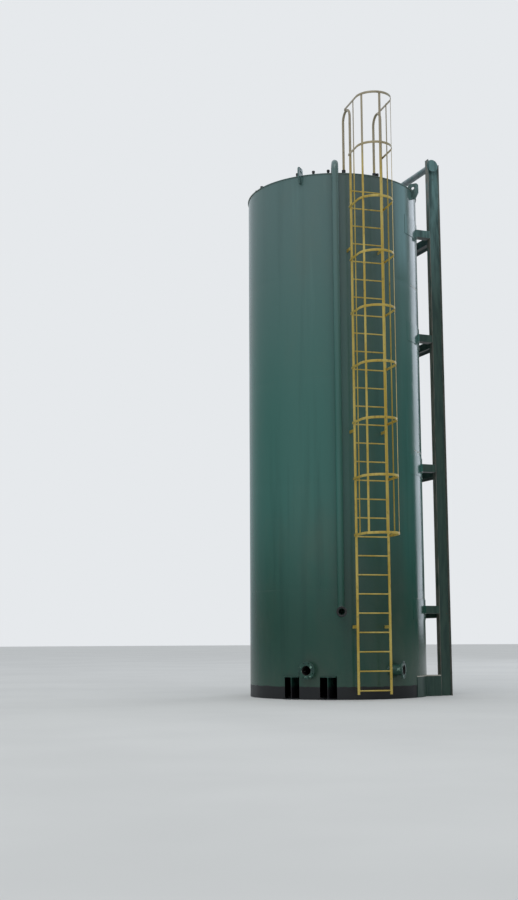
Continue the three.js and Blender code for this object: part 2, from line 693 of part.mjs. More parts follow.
// Flanged nozzles: a neck through the shell, open from end to end
function nozzle(alongAxis, face, inside) {
  const step = Math.sign(inside - face);
  const span = (a, b) => [Math.min(a, b), Math.max(a, b)];
  const neck = alongAxis(NOZZLE_PIPE_RADIUS, ...span(face, inside));
  const flange = alongAxis(NOZZLE_FLANGE_RADIUS, ...span(face, face + step * NOZZLE_FLANGE_THICKNESS));
  const bore = alongAxis(NOZZLE_BORE, ...span(face - step * OVERCUT, inside + step * OVERCUT));
  return toGeometry(toSolid(neck).add(toSolid(flange)).subtract(toSolid(bore)));
}

function addNozzles() {
  const front = (radius, a, b) => alongY(0, NOZZLE_HEIGHT, radius, ROUND_SIDES, a, b);
  addMesh(part, 'nozzle_front', nozzle(front, -NOZZLE_FACE, -(SHELL_RADIUS - NOZZLE_INSIDE)), TANK_GREEN);
  const side = (radius, a, b) => alongX(SIDE_NOZZLE_Y, NOZZLE_HEIGHT, radius, ROUND_SIDES, a, b);
  const shellX = Math.sqrt(SHELL_RADIUS ** 2 - SIDE_NOZZLE_Y ** 2);
  addMesh(part, 'nozzle_side', nozzle(side, SIDE_NOZZLE_FACE, shellX - 2 * NOZZLE_INSIDE), TANK_GREEN);
}

addShell();
addFloor();
addRoof();
addHatch();
addBaseBeams();
addSkid();
addLugs();
addLadder();
addFillPipe();
addNozzles();

export default part;
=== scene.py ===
from math import asin, cos, exp, pi, radians, sin

import bmesh
import bpy
from bpy.props import FloatProperty, FloatVectorProperty, IntProperty, PointerProperty
from bpy.types import Operator, Panel, PropertyGroup
from mathutils import Matrix, Vector, noise


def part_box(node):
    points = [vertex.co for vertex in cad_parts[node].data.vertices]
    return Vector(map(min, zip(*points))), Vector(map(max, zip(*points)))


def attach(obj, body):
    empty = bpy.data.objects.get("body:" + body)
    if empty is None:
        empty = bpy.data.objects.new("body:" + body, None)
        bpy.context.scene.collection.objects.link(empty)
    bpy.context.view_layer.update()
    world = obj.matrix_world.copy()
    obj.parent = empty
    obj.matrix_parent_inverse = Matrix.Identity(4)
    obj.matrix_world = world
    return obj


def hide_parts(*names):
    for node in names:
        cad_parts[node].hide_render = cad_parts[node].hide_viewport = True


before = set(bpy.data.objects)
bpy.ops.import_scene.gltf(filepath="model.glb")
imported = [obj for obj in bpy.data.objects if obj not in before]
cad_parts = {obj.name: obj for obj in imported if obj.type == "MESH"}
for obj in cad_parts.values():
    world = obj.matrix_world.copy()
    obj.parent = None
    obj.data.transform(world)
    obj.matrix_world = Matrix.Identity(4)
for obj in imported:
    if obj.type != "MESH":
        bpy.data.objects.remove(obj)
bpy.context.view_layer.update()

bl_info = {
    "name": "Upright storage tank",
    "version": (1, 0, 0),
    "blender": (4, 5, 0),
    "location": "3D View > Sidebar > Tank",
    "description": "Finishes an upright steel storage tank with its caged ladder and transport skid",
    "category": "Object",
}

# Azimuths are seen from above, from -Y towards +X. Sizes are in metres.
COURSES = [f"shell_course_{i}" for i in range(1, 6)]
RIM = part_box(COURSES[-1])[1].z
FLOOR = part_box("floor_plate")[0].z
MERGE_DISTANCE = 0.00002
FLAT_ANGLE = radians(1.0)
CORNER_ANGLE = radians(50.0)
SMOOTH_ANGLE = radians(35.0)
# How far a cutter passes what it cuts, and how deep welds and stubs sink into what carries them
OVERCUT = 0.05
SUNK = 0.001
# Setting of the nodes that go from one share to another, so that they start and end softly
SOFT = {"interpolation_type": "SMOOTHSTEP"}
# Heights of the scrapes beside the front struts
SCRAPE_LEVELS = (1.73, 3.88, 4.20, 7.12)
SCRAPE_HALF_WIDTH = 0.010


# Properties

def linear(hex_text):
    """An sRGB hex value as linear red, green, blue and an alpha of one."""
    channels = [int(hex_text[i:i + 2], 16) / 255 for i in (0, 2, 4)]
    return tuple(c / 12.92 if c <= 0.04045 else ((c + 0.055) / 1.055) ** 2.4 for c in channels) + (1.0,)


def length(name, description, default):
    return FloatProperty(name=name, description=description, default=default, precision=4, unit="LENGTH")


def angle(name, description, degrees):
    return FloatProperty(name=name, description=description, default=radians(degrees), subtype="ANGLE")


def count(name, description, default):
    return IntProperty(name=name, description=description, default=default, min=1)


def colour(name, description, hex_text):
    return FloatVectorProperty(name=name, description=description, default=linear(hex_text), size=4,
                               min=0.0, max=1.0, subtype="COLOR")


class TankShellSizes(PropertyGroup):
    """Rolled shell plates and their welds."""

    radius: length("Radius", "Outside radius of the shell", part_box(COURSES[2])[1].x)
    wall: length("Wall", "Thickness of the plate", 0.0064)
    seam_dip: length("Seam dip", "How far a girth weld pulls the plate in", 0.0009)
    seam_reach: length("Seam reach", "How far from a girth weld its dip is felt", 0.07)
    wave: length("Wave", "Depth of the slow waves in the plate", 0.0016)
    wave_length: length("Wave length", "Distance between the slow waves", 0.75)
    weld_width: length("Weld width", "Width of a weld bead", 0.012)
    weld_height: length("Weld height", "How far a weld bead stands up", 0.0012)
    notch_gap: length("Notch gap", "Gap burnt round a base beam where it enters the shell", 0.008)
    upright_weld: angle("Upright weld", "Azimuth of an upright weld in the lowest course", -55.0)
    upright_shift: angle("Upright weld shift", "Turn of each course's upright welds from those below", 62.0)
    segments: count("Segments", "Faces round the shell", 192)


class TankRoofSizes(PropertyGroup):
    """Roof plate, handrail stubs, ladder sockets and the hatch."""

    thickness: length("Thickness", "Thickness of the roof plate", 0.012)
    lip: length("Lip", "How far the roof plate stands out over the shell", 0.012)
    seam: angle("Seam", "Turn of the weld across the roof plate from +X", 63.0)
    stub_radius: length("Stub radius", "Radius of a handrail stub", 0.0215)
    cap_radius: length("Cap radius", "Radius of the cap on a stub", 0.026)
    cap_height: length("Cap height", "Height of the cap on a stub", 0.034)
    stub_height: length("Stub height", "Height of a stub over the roof", 0.09)
    stub_distance: length("Stub distance", "Distance of the stubs from the tank's axis", 1.415)
    socket_radius: length("Socket radius", "Radius of a ladder socket", 0.033)
    socket_height: length("Socket height", "Height of a ladder socket over the roof", 0.085)
    hatch_azimuth: angle("Hatch azimuth", "Where the hatch stands on the roof", 70.0)
    hatch_distance: length("Hatch distance", "Distance of the hatch from the tank's axis", 0.85)
    hatch_radius: length("Hatch radius", "Radius of the hatch neck", 0.255)
    lid_radius: length("Lid radius", "Radius of the hatch lid", 0.285)
    neck_height: length("Neck height", "Height of the hatch neck", 0.09)
    lid_thickness: length("Lid thickness", "Thickness of the hatch lid", 0.014)
    hatch_bolts: count("Hatch bolts", "Bolts round the hatch lid", 20)


class TankSteelworkSizes(PropertyGroup):
    """Rounding of rolled sections and cut plates, and the skid's place."""

    skid_turn: angle("Skid turn", "How far the skid is turned from +X", 44.0)
    post_inner: length("Posts, inner face", "Distance of the posts' inner faces from the tank's axis", 1.490)
    post_outer: length("Posts, outer face", "Distance of the posts' outer faces from the tank's axis", 1.710)
    post_flange: length("Post flange", "Thickness of the posts' flanges", 0.0092)
    foot_pad_top: length("Foot pad top", "Height of the pads that join the base struts to the shell", 0.350)
    foot_pad_near: length("Foot pad, near end", "Its distance from the skid's middle line", 0.655)
    foot_pad_far: length("Foot pad, far end", "Its distance from the skid's middle line", 1.256)
    roll_pipe_axis: length("Roll pipe axis", "Distance of the roll pipe from the tank's axis", 1.570)
    roll_pipe_height: length("Roll pipe height", "Height of the pipe across the posts", 9.37)
    roll_pipe_radius: length("Roll pipe radius", "Radius of the pipe across the posts", 0.057)
    roll_pipe_reach: length("Roll pipe reach", "Half the length of the pipe with its end discs", 0.9224)
    disc_radius: length("Disc radius", "Radius of the discs on the roll pipe's ends", 0.110)
    disc_thickness: length("Disc thickness", "Thickness of the discs on the roll pipe's ends", 0.012)
    edge: length("Edge", "Rounding of outer edges", 0.002)
    root: length("Root", "Fillet in the inner corners of rolled sections", 0.010)
    beam_root: length("Beam root", "Fillet in the inner corners of the base beams", 0.016)
    lug_azimuth: angle("Lug azimuth", "Azimuth of the front lifting lug", -2.2)
    lug_thickness: length("Lug thickness", "Thickness of a lifting lug", 0.025)
    lug_weld: length("Lug weld", "Leg of the weld along a lifting lug", 0.010)


class TankLadderSizes(PropertyGroup):
    """Caged ladder with its goosenecks."""

    azimuth: angle("Azimuth", "Azimuth of the ladder", 38.0)
    distance: length("Distance", "Distance of the rails from the tank's axis", 1.703)
    spacing: length("Spacing", "Distance between the rails", 0.554)
    rail_radius: length("Rail radius", "Radius of a rail", 0.021)
    rail_foot: length("Rail foot", "Height of the rails' lower ends", 0.087)
    rail_join: length("Rail join", "Height where the goosenecks start", 8.76)
    rung_radius: length("Rung radius", "Radius of a rung", 0.011)
    rung_first: length("First rung", "Height of the lowest rung", 0.147)
    rung_step: length("Rung step", "Distance between rungs", 0.3048)
    rungs: count("Rungs", "Number of rungs", 28)
    bend: length("Bend", "Bend radius of the goosenecks", 0.16)
    top: length("Top", "Height of the goosenecks' middle line at the top", 9.85)
    hoop_first: length("First hoop", "Height of the lowest cage hoop", 2.609)
    hoop_step: length("Hoop step", "Distance between cage hoops", 0.9144)
    hoops: count("Hoops", "Number of cage hoops", 9)
    top_hoop_rise: length("Top hoop rise", "Height of the top hoop over the goosenecks' middle line", 0.024)
    hoop_straight: length("Hoop straight", "Straight run of a hoop before it turns", 0.355)
    hoop_lap: length("Hoop lap", "How far a hoop's ends pass behind the rails", 0.03)
    bar_width: length("Bar width", "Width of the cage's flat bar", 0.04)
    bar_thickness: length("Bar thickness", "Thickness of the cage's flat bar", 0.006)
    corner_angle: angle("Corner angle", "Turn from the middle cage bar to the next ones", 60.0)
    side_bar: length("Side bar", "Distance of the side bars in front of the rails", 0.215)


class TankPipingSizes(PropertyGroup):
    """Fill pipe, its inlet, and the flanged nozzles."""

    azimuth: angle("Azimuth", "Azimuth of the fill pipe", 20.3)
    distance: length("Distance", "Distance of the fill pipe from the tank's axis", 1.582)
    radius: length("Radius", "Outside radius of the pipe", 0.05715)
    wall: length("Wall", "Wall of the pipe", 0.00615)
    bend: length("Bend", "Bend radius over the rim", 0.152)
    bend_start: length("Bend start", "Height where the pipe starts to bend", 8.808)
    join: length("Join", "Height where the inlet meets the pipe", 1.6)
    inlet_height: length("Inlet height", "Height of the inlet's middle line", 1.39)
    inlet_bend: length("Inlet bend", "Bend radius of the inlet", 0.105)
    inlet_reach: length("Inlet reach", "How far the inlet stands out from the pipe", 0.165)
    collar_radius: length("Collar radius", "Radius of the inlet collar", 0.084)
    collar_length: length("Collar length", "Length of the inlet collar", 0.038)
    nozzle_radius: length("Nozzle radius", "Outside radius of a nozzle's pipe", 0.08415)
    nozzle_wall: length("Nozzle wall", "Wall of a nozzle's pipe", 0.00715)
    flange_radius: length("Flange radius", "Radius of a nozzle flange", 0.1397)
    flange_thickness: length("Flange thickness", "Thickness of a nozzle flange", 0.0254)
    hub_radius: length("Hub radius", "Radius of a flange's hub where it leaves the flange", 0.096)
    hub_length: length("Hub length", "Length of a flange with its hub", 0.089)
    raised_face: length("Raised face", "Radius of the raised face of a flange", 0.108)
    bolt_circle: length("Bolt circle", "Radius of the circle of bolt holes", 0.12065)
    bolt_hole: length("Bolt hole", "Radius of a bolt hole", 0.0112)
    bolt_holes: count("Bolt holes", "Number of bolt holes in a flange", 8)
    standoff_first: length("First standoff", "Height of the fill pipe's lowest standoff", 2.3)
    standoff_step: length("Standoff step", "Distance between the fill pipe's standoffs", 2.8)


class TankStageSizes(PropertyGroup):
    """Floor, lights and camera."""

    floor_radius: length("Floor radius", "Radius of the floor", 140.0)
    camera_place: FloatVectorProperty(name="Camera place", description="Where the camera stands",
                                      default=(6.816, -20.976, 0.994), unit="LENGTH")
    camera_turn: angle("Camera turn", "Camera's turn from +Y towards -X", 21.4818)
    camera_pitch: angle("Camera pitch", "How far the camera looks up", 8.4209)
    camera_roll: angle("Camera roll", "Camera's roll", -0.2865)
    camera_lens: FloatProperty(name="Lens", description="Focal length", default=50.6, unit="CAMERA")


class TankFinishes(PropertyGroup):
    """Colours of the paints, the dirt, the bare metal, the painted light and shade, and the studio lights."""

    # The three shell colours make painted shade near the ground and painted light near the rim
    shell_foot: colour("Shell, low", "Enamel near the ground, dark with damp", "234a3e")
    shell_middle: colour("Shell, middle", "Enamel halfway up", "3a6a61")
    shell_head: colour("Shell, high", "Enamel near the rim, faded by the sun", "54706d")
    shell_run: colour("Rain run", "Dark runs of rain dirt", "17332f")
    shell_chalk: colour("Chalk run", "Pale chalky runs", "6f9490")
    undercoat: colour("Undercoat", "Pale green undercoat under the enamel", "7d9d8f")
    # Also painted shade on the skid's faces that look down
    foot_band_and_underside_shade: colour("Foot band", "Bitumen paint round the foot", "1b1c1e")
    dust: colour("Dust", "Dried dust and mud", "6f675a")
    # Painted shade of the ladder and cage on the plate behind them
    ladder_shade: colour("Soil", "Dirt off boots on the plate behind the ladder", "4a4642")
    skid_low: colour("Skid paint, low", "Paint on the skid near the ground", "324a40")
    skid_high: colour("Skid paint, high", "Paint on the skid near the top, faded", "628685")
    skid_primer: colour("Skid primer", "Primer where the paint is rubbed off", "7f7b73")
    worn_steel: colour("Worn steel", "Steel of the roll pipe, rubbed pale and dulled", "8d9699")
    rust: colour("Rust", "Rust", "54301f")
    dark_rust: colour("Dark rust", "Old rust", "2c201c")
    yellow: colour("Ladder yellow", "Safety paint on the ladder and cage", "b3983c")
    yellow_pale: colour("Ladder yellow, faded", "Sun-bleached safety paint", "c2ac58")
    # Painted shade on the backlit goosenecks over the rim
    yellow_backlit_shade: colour("Ladder yellow, sooted", "Safety paint dulled by exhaust over the rim", "938b7c")
    grime: colour("Grime", "Hand and boot dirt", "4a3c26")
    black: colour("Black primer", "Black primer on roof fittings", "191b1c")
    # Also the painted highlight along the top edge of the foot pads and base struts
    chip_and_highlight: colour("Chip", "Bare pale patches", "b8b4a8")
    oxide: colour("Red oxide", "Red oxide lining inside the tank", "5c2c22")
    zinc: colour("Zinc", "Zinc plated bolts", "8f9498")
    rubber: colour("Rubber", "Hatch gasket", "151515")
    floor: colour("Floor", "Plain studio floor", "d3d3cf")
    backdrop: colour("Backdrop", "Plain studio backdrop", "e6e9ec")
    sky_low: colour("Low light", "Studio light near the floor", "a9b3b8")
    sky_high: colour("High light", "Studio light overhead", "f4f8ff")
    sky_dim: colour("Dim light", "Studio light low down at the sides and behind", "35403c")
    strip: colour("Strip light", "Light of the tall strip behind the tank", "edf2ff")
    overhead: colour("Overhead light", "Light of the lamp overhead in front", "ffffff")
    sky_card: colour("Sky card", "Light of the card that is mirrored in the shell's head", "b4ecff")


# Meshes

def face_out(shape):
    """Merges doubles and turns every face outwards."""
    bmesh.ops.remove_doubles(shape, verts=shape.verts, dist=MERGE_DISTANCE)
    bmesh.ops.recalc_face_normals(shape, faces=shape.faces)
    return shape


def verts_of(items):
    return [item for item in items if isinstance(item, bmesh.types.BMVert)]


def edges_of(items):
    return [item for item in items if isinstance(item, bmesh.types.BMEdge)]


def lathe(outline, segments, closed=False):
    """An outline of (radius, height) points spun once round Z."""
    shape = bmesh.new()
    verts = [shape.verts.new((radius, 0.0, height)) for radius, height in outline]
    pairs = list(zip(verts, verts[1:])) + ([(verts[-1], verts[0])] if closed else [])
    edges = [shape.edges.new(pair) for pair in pairs]
    bmesh.ops.spin(shape, geom=verts + edges, cent=(0, 0, 0), axis=(0, 0, 1), angle=2 * pi,
                   steps=segments, use_merge=True)
    return face_out(shape)


def rod(radius, bottom, top, segments):
    """A plain round bar along Z."""
    return lathe([(0, bottom), (radius, bottom), (radius, top), (0, top)], segments)


def disc(radius, bottom, top, edge, segments):
    """A round plate across Z with both its edges taken off."""
    return lathe([(0, bottom), (radius - edge, bottom), (radius, bottom + edge), (radius, top - edge),
                  (radius - edge, top), (0, top)], segments)


def bar(outline, run):
    """A solid bar: a flat outline of points given length along a vector."""
    shape = bmesh.new()
    face = shape.faces.new([shape.verts.new(point) for point in outline])
    made = bmesh.ops.extrude_face_region(shape, geom=[face])["geom"]
    bmesh.ops.translate(shape, verts=verts_of(made), vec=run)
    return face_out(shape)


def block(low, high):
    """A box between two corners."""
    outline = [(low[0], low[1], low[2]), (high[0], low[1], low[2]),
               (high[0], high[1], low[2]), (low[0], high[1], low[2])]
    return bar(outline, (0, 0, high[2] - low[2]))


def ring(shape, radius, segments, place):
    """A ring of edges that a pipe is drawn from."""
    made = bmesh.ops.create_circle(shape, cap_ends=False, segments=segments, radius=radius, matrix=place)
    return list(dict.fromkeys(edge for vert in made["verts"] for edge in vert.link_edges))


def drag(shape, edges, run):
    """Extrudes a ring of edges along a straight run, and returns the ring at its end."""
    made = bmesh.ops.extrude_edge_only(shape, edges=edges)["geom"]
    bmesh.ops.translate(shape, verts=verts_of(made), vec=run)
    return [edge for edge in edges_of(made) if edge.is_boundary]


def turn(shape, edges, centre, axis, bend_angle, steps):
    """Takes a ring of edges round a bend, and returns the ring at its end."""
    verts = list(dict.fromkeys(vert for edge in edges for vert in edge.verts))
    made = bmesh.ops.spin(shape, geom=verts + edges, cent=centre, axis=axis, angle=bend_angle, steps=steps)
    return edges_of(made["geom_last"])


def close_ends(shape):
    """Caps every open end."""
    bmesh.ops.holes_fill(shape, edges=[edge for edge in shape.edges if edge.is_boundary])
    return face_out(shape)


def round_edges(shape, edges, size, segments):
    bmesh.ops.bevel(shape, geom=edges, affect="EDGES", offset_type="OFFSET", offset=size,
                    segments=segments, profile=0.5, material=-1, clamp_overlap=True)


def stamp(target, pattern, places):
    """Adds a copy of a pattern at each place, and throws the pattern away."""
    mesh = bpy.data.meshes.new("pattern")
    pattern.to_mesh(mesh)
    pattern.free()
    for place in places:
        mesh.transform(place)
        target.from_mesh(mesh)
        mesh.transform(place.inverted())
    bpy.data.meshes.remove(mesh)
    return target


def placed(pattern, *places):
    """Copies of a pattern at the given places, as one shape."""
    return stamp(bmesh.new(), pattern, places)


def over_the_rim(radius, segments, start, run, bend, foot):
    """A pipe's skin: from its start up a run, half a turn over the rim, and down to its foot's height."""
    shape = bmesh.new()
    edges = ring(shape, radius, segments, Matrix.Translation(start))
    edges = drag(shape, edges, (0, 0, run))
    top = start[2] + run
    edges = turn(shape, edges, (start[0], start[1] + bend, top), (-1, 0, 0), pi, 20)
    drag(shape, edges, (0, 0, foot - top))
    return shape


def softened(node, edge_size, root_size):
    """A copy of a CAD node with its outer edges rounded and its inner corners filleted.

    Edges that touch the shell stay sharp, except under the tank's floor.
    """
    shape = bmesh.new()
    shape.from_mesh(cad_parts[node].data)
    bmesh.ops.remove_doubles(shape, verts=shape.verts, dist=MERGE_DISTANCE)
    bmesh.ops.dissolve_limit(shape, angle_limit=FLAT_ANGLE, verts=shape.verts, edges=shape.edges)
    shell_reach = bpy.context.scene.tank_shell.radius + 0.004

    def is_corner(edge, convex):
        if not edge.is_manifold or edge.is_convex != convex or edge.calc_face_angle() < CORNER_ANGLE:
            return False
        return all(vert.co.xy.length > shell_reach or vert.co.z < FLOOR for vert in edge.verts)

    if root_size > 0:
        round_edges(shape, [edge for edge in shape.edges if is_corner(edge, False)], root_size, 3)
    round_edges(shape, [edge for edge in shape.edges if is_corner(edge, True)], edge_size, 2)
    return shape


def facing(azimuth, distance=0.0, height=0.0):
    """A place at an azimuth, whose own -Y points away from the tank."""
    return Matrix.Rotation(azimuth, 4, "Z") @ Matrix.Translation((0.0, -distance, height))


# Pieces

def make_piece(name, shape, material, slot, *nodes):
    """Makes a bmesh a piece that rides on the tank and stands for CAD nodes."""
    mesh = bpy.data.meshes.new(name)
    shape.to_mesh(mesh)
    shape.free()
    mesh.materials.append(material)
    mesh.shade_smooth()
    mesh.set_sharp_from_angle(angle=SMOOTH_ANGLE)
    piece = bpy.data.objects.new(name, mesh)
    bpy.context.scene.collection.objects.link(piece)
    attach(piece, "root")
    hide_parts(*nodes)
    return piece


def even_faces(piece):
    """Keeps flat faces flat where smooth shading meets a rounded edge."""
    piece.modifiers.new("Even faces", "WEIGHTED_NORMAL").keep_sharp = True
    return piece


def apply_modifiers(piece):
    """Makes a piece's modifiers part of its mesh."""
    graph = bpy.context.evaluated_depsgraph_get()
    mesh = bpy.data.meshes.new_from_object(piece.evaluated_get(graph))
    piece.modifiers.clear()
    piece.data = mesh
    mesh.set_sharp_from_angle(angle=SMOOTH_ANGLE)


def give_wall(piece, thickness, inner_slot=0):
    """Thickens a piece's skin inwards, and gives its inside the material in a slot."""
    wall = piece.modifiers.new("Wall", "SOLIDIFY")
    wall.thickness = thickness
    wall.offset = -1.0
    wall.material_offset = inner_slot
    apply_modifiers(piece)


def cut(piece, cutter):
    """Takes a cutter's shape out of a piece, and throws the cutter away."""
    mesh = bpy.data.meshes.new("cutter")
    cutter.to_mesh(mesh)
    cutter.free()
    tool = bpy.data.objects.new("cutter", mesh)
    bpy.context.scene.collection.objects.link(tool)
    knife = piece.modifiers.new("Cut", "BOOLEAN")
    knife.operation = "DIFFERENCE"
    knife.solver = "EXACT"
    knife.object = tool
    apply_modifiers(piece)
    bpy.data.objects.remove(tool)
    bpy.data.meshes.remove(mesh)


# Materials

def add_node(tree, kind, inputs=None, output=0, **settings):
    """Adds a node with its settings, sets or links its inputs, and returns one of its outputs."""
    node = tree.nodes.new("ShaderNode" + kind)
    for name, value in settings.items():
        setattr(node, name, value)
    for socket, value in (inputs or {}).items():
        if isinstance(value, bpy.types.NodeSocket):
            tree.links.new(value, node.inputs[socket])
        else:
            node.inputs[socket].default_value = value
    return node.outputs[output] if node.outputs else None


def as_material(maker):
    """Makes the material that a function describes when it is first asked for, under the function's name."""

    def get():
        material = bpy.data.materials.get(maker.__name__)
        if material is None:
            material = bpy.data.materials.new(maker.__name__)
            material.use_nodes = True
            tree = material.node_tree
            tree.nodes.clear()
            maker(tree, add_node(tree, "TexCoord", output="Object"), bpy.context.scene.tank_finishes)
        return material

    return get


def grain(tree, place, size, detail, roughness=0.55):
    """Noise whose bands are as long as the size says, in millimetres along X, Y and Z."""
    scaled = add_node(tree, "Mapping", {"Vector": place, "Scale": [1000.0 / span for span in size]})
    return add_node(tree, "TexNoise", {"Vector": scaled, "Scale": 1.0, "Detail": detail,
                                       "Roughness": roughness})


def patches(tree, place, size, detail, edges, shares=(0.0, 1.0), roughness=0.55):
    """Irregular patches: the first share where the grain is below both edges, and the second above them."""
    return add_node(tree, "MapRange", {"Value": grain(tree, place, size, detail, roughness),
                                       "From Min": edges[0], "From Max": edges[1],
                                       "To Min": shares[0], "To Max": shares[1]}, **SOFT)


def overlap(tree, share, *others):
    """Share of the surface where several shares meet."""
    for other in others:
        share = add_node(tree, "Math", {0: share, 1: other}, operation="MULTIPLY")
    return share


def layered(tree, skin, *layers):
    """A skin with further colours laid over it in turn, each by its own share."""
    for share, paint in layers:
        skin = add_node(tree, "Mix", {0: share, 6: skin, 7: paint}, output=2, data_type="RGBA")
    return skin


def finish_material(tree, skin, roughness, bump_height, bump_distance, metallic=0.0):
    """A Principled surface with its bump, as the material's output."""
    bump = add_node(tree, "Bump", {"Height": bump_height, "Distance": bump_distance, "Strength": 0.6})
    surface = add_node(tree, "BsdfPrincipled", {"Base Color": skin, "Roughness": roughness,
                                                "Metallic": metallic, "Normal": bump})
    add_node(tree, "OutputMaterial", {"Surface": surface})


def towards(tree, place, azimuth):
    """Cosine of the angle, seen from above, between a place's direction and an azimuth in degrees."""
    level = add_node(tree, "VectorMath", {0: place, 1: (1.0, 1.0, 0.0)}, operation="MULTIPLY")
    way = add_node(tree, "VectorMath", {0: level}, operation="NORMALIZE")
    aim = facing(radians(azimuth), 1.0).translation
    return add_node(tree, "VectorMath", {0: way, 1: aim}, output="Value", operation="DOT_PRODUCT")


def enamel_colour(tree, height):
    """The enamel's colour up the tank: darker at the foot as painted shade and paler near the rim as painted
    light, with the share of that painted light.
    """
    colours = bpy.context.scene.tank_finishes
    # Painted shade low down, gone by 3.5 m, and painted light from 4.2 m up to the rim
    out_of_painted_shade = add_node(tree, "MapRange", {"Value": height, "From Min": 0.9, "From Max": 3.5}, **SOFT)
    painted_light_high_up = add_node(tree, "MapRange", {"Value": height, "From Min": 4.2, "From Max": RIM}, **SOFT)
    return layered(tree, colours.shell_foot, (out_of_painted_shade, colours.shell_middle), (painted_light_high_up, colours.shell_head)), painted_light_high_up


def foot_band_share(tree, place, height):
    """One below the brushed upper edge of the foot band, and nought above it."""
    brushed_edge = add_node(tree, "Math", {0: grain(tree, place, (100, 100, 100), 4.0), 1: 0.05, 2: height},
                            operation="MULTIPLY_ADD")
    return add_node(tree, "MapRange", {"Value": brushed_edge, "From Min": 0.222, "From Max": 0.232,
                                       "To Min": 1.0, "To Max": 0.0}, **SOFT)


def chain_scrapes(tree, place, height):
    """Share of the thin broken scrapes that lifting chains have left on the shell beside the front struts."""
    wavy_height = add_node(tree, "Math", {0: grain(tree, place, (300, 300, 300), 3.0), 1: 0.2, 2: height},
                           operation="MULTIPLY_ADD")
    lines = 0.0
    for level in SCRAPE_LEVELS:
        line = add_node(tree, "Math", {0: wavy_height, 1: level, 2: SCRAPE_HALF_WIDTH}, operation="COMPARE")
        lines = add_node(tree, "Math", {0: line, 1: lines}, operation="ADD")
    # Cosines of 13 and 10 degrees
    beside_strut = add_node(tree, "MapRange", {"Value": towards(tree, place, 93.0), "From Min": 0.974,
                                               "From Max": 0.984}, **SOFT)
    broken = patches(tree, place, (50, 50, 50), 2.0, (0.42, 0.50), (0.0, 0.8))
    return overlap(tree, lines, beside_strut, broken)


@as_material
def gloss_enamel(tree, place, colours):
    """Gloss enamel sprayed on rolled plate: deep and reflective, with painted shade low down and painted
    light high up, and with rain runs.
    """
    height = add_node(tree, "SeparateXYZ", {0: place}, output="Z")
    skin, painted_light_high_up = enamel_colour(tree, height)
    runs = patches(tree, place, (220, 220, 4500), 4.0, (0.50, 0.74), (0.0, 0.24))
    fewer_high_up = add_node(tree, "MapRange", {"Value": height, "From Min": 3.5, "From Max": 7.0,
                                                "To Min": 1.0, "To Max": 0.4}, **SOFT)
    chalk = patches(tree, place, (130, 130, 3000), 3.0, (0.54, 0.78), (0.0, 0.20))
    # Painted shade of the ladder and cage, darker grey, on the plate behind them: cosines of 26 and 16
    # degrees to each side of that plate
    behind_ladder = add_node(tree, "MapRange", {"Value": towards(tree, place, 44.0), "From Min": 0.897,
                                                "From Max": 0.963, "To Max": 0.3}, **SOFT)
    over_foot = add_node(tree, "MapRange", {"Value": height, "From Min": 0.5, "From Max": 2.0}, **SOFT)
    clouds = patches(tree, place, (900, 900, 1700), 3.0, (0.45, 0.75), (0.0, 0.14))
    splash_edge = add_node(tree, "Math", {0: grain(tree, place, (120, 120, 300), 5.0), 1: 0.9, 2: height},
                           operation="MULTIPLY_ADD")
    splash = add_node(tree, "MapRange", {"Value": splash_edge, "From Min": 0.45, "From Max": 1.25,
                                         "To Min": 0.10, "To Max": 0.0}, **SOFT)
    scrapes = chain_scrapes(tree, place, height)
    band = foot_band_share(tree, place, height)
    skin = layered(tree, skin, (overlap(tree, runs, fewer_high_up), colours.shell_run),
                   (overlap(tree, chalk, painted_light_high_up), colours.shell_chalk),
                   (overlap(tree, behind_ladder, over_foot), colours.ladder_shade),
                   (clouds, colours.dust), (splash, colours.dust), (scrapes, colours.chip_and_highlight),
                   (band, colours.foot_band_and_underside_shade))
    roughness = patches(tree, place, (350, 350, 1200), 4.0, (0.35, 0.70), (0.12, 0.24))
    for share, dullness in ((band, 0.25), (scrapes, 0.4)):
        roughness = add_node(tree, "Math", {0: share, 1: dullness, 2: roughness}, operation="MULTIPLY_ADD")
    # Orange peel from the spray gun is finer than this, and is drawn at 14 mm so that it shows
    peel = grain(tree, place, (14, 14, 14), 2.0)
    finish_material(tree, skin, roughness, peel, 0.0003)


@as_material
def roof_enamel(tree, place, colours):
    """The shell's enamel laid flat, in the shell's high colour with its painted light; rain and dust leave
    dried pools on it.
    """
    pools = patches(tree, place, (450, 450, 450), 6.0, (0.42, 0.68), (0.05, 0.55), roughness=0.62)
    stains = patches(tree, place, (90, 90, 90), 5.0, (0.60, 0.72), (0.0, 0.4))
    skin = layered(tree, colours.shell_head, (pools, colours.dust), (stains, colours.shell_run))
    roughness = add_node(tree, "Math", {0: pools, 1: 0.5, 2: 0.32}, operation="MULTIPLY_ADD")
    finish_material(tree, skin, roughness, grain(tree, place, (12, 12, 12), 3.0), 0.0004)


@as_material
def weathered_enamel(tree, place, colours):
    """The same enamel brushed on thick cut plate: chips at the edges and a dull film."""
    height = add_node(tree, "SeparateXYZ", {0: place}, output="Z")
    grime = patches(tree, place, (50, 50, 140), 5.0, (0.46, 0.66), (0.0, 0.75))
    chips = patches(tree, place, (20, 20, 20), 5.0, (0.655, 0.675), roughness=0.65)
    skin = layered(tree, enamel_colour(tree, height)[0], (grime, colours.shell_run), (chips, colours.rust),
                   (foot_band_share(tree, place, height), colours.foot_band_and_underside_shade))
    roughness = add_node(tree, "MapRange", {"Value": grime, "From Max": 0.75, "To Min": 0.30,
                                            "To Max": 0.55}, **SOFT)
    brush_marks = grain(tree, place, (6, 6, 50), 3.0)
    finish_material(tree, skin, roughness, brush_marks, 0.0004)


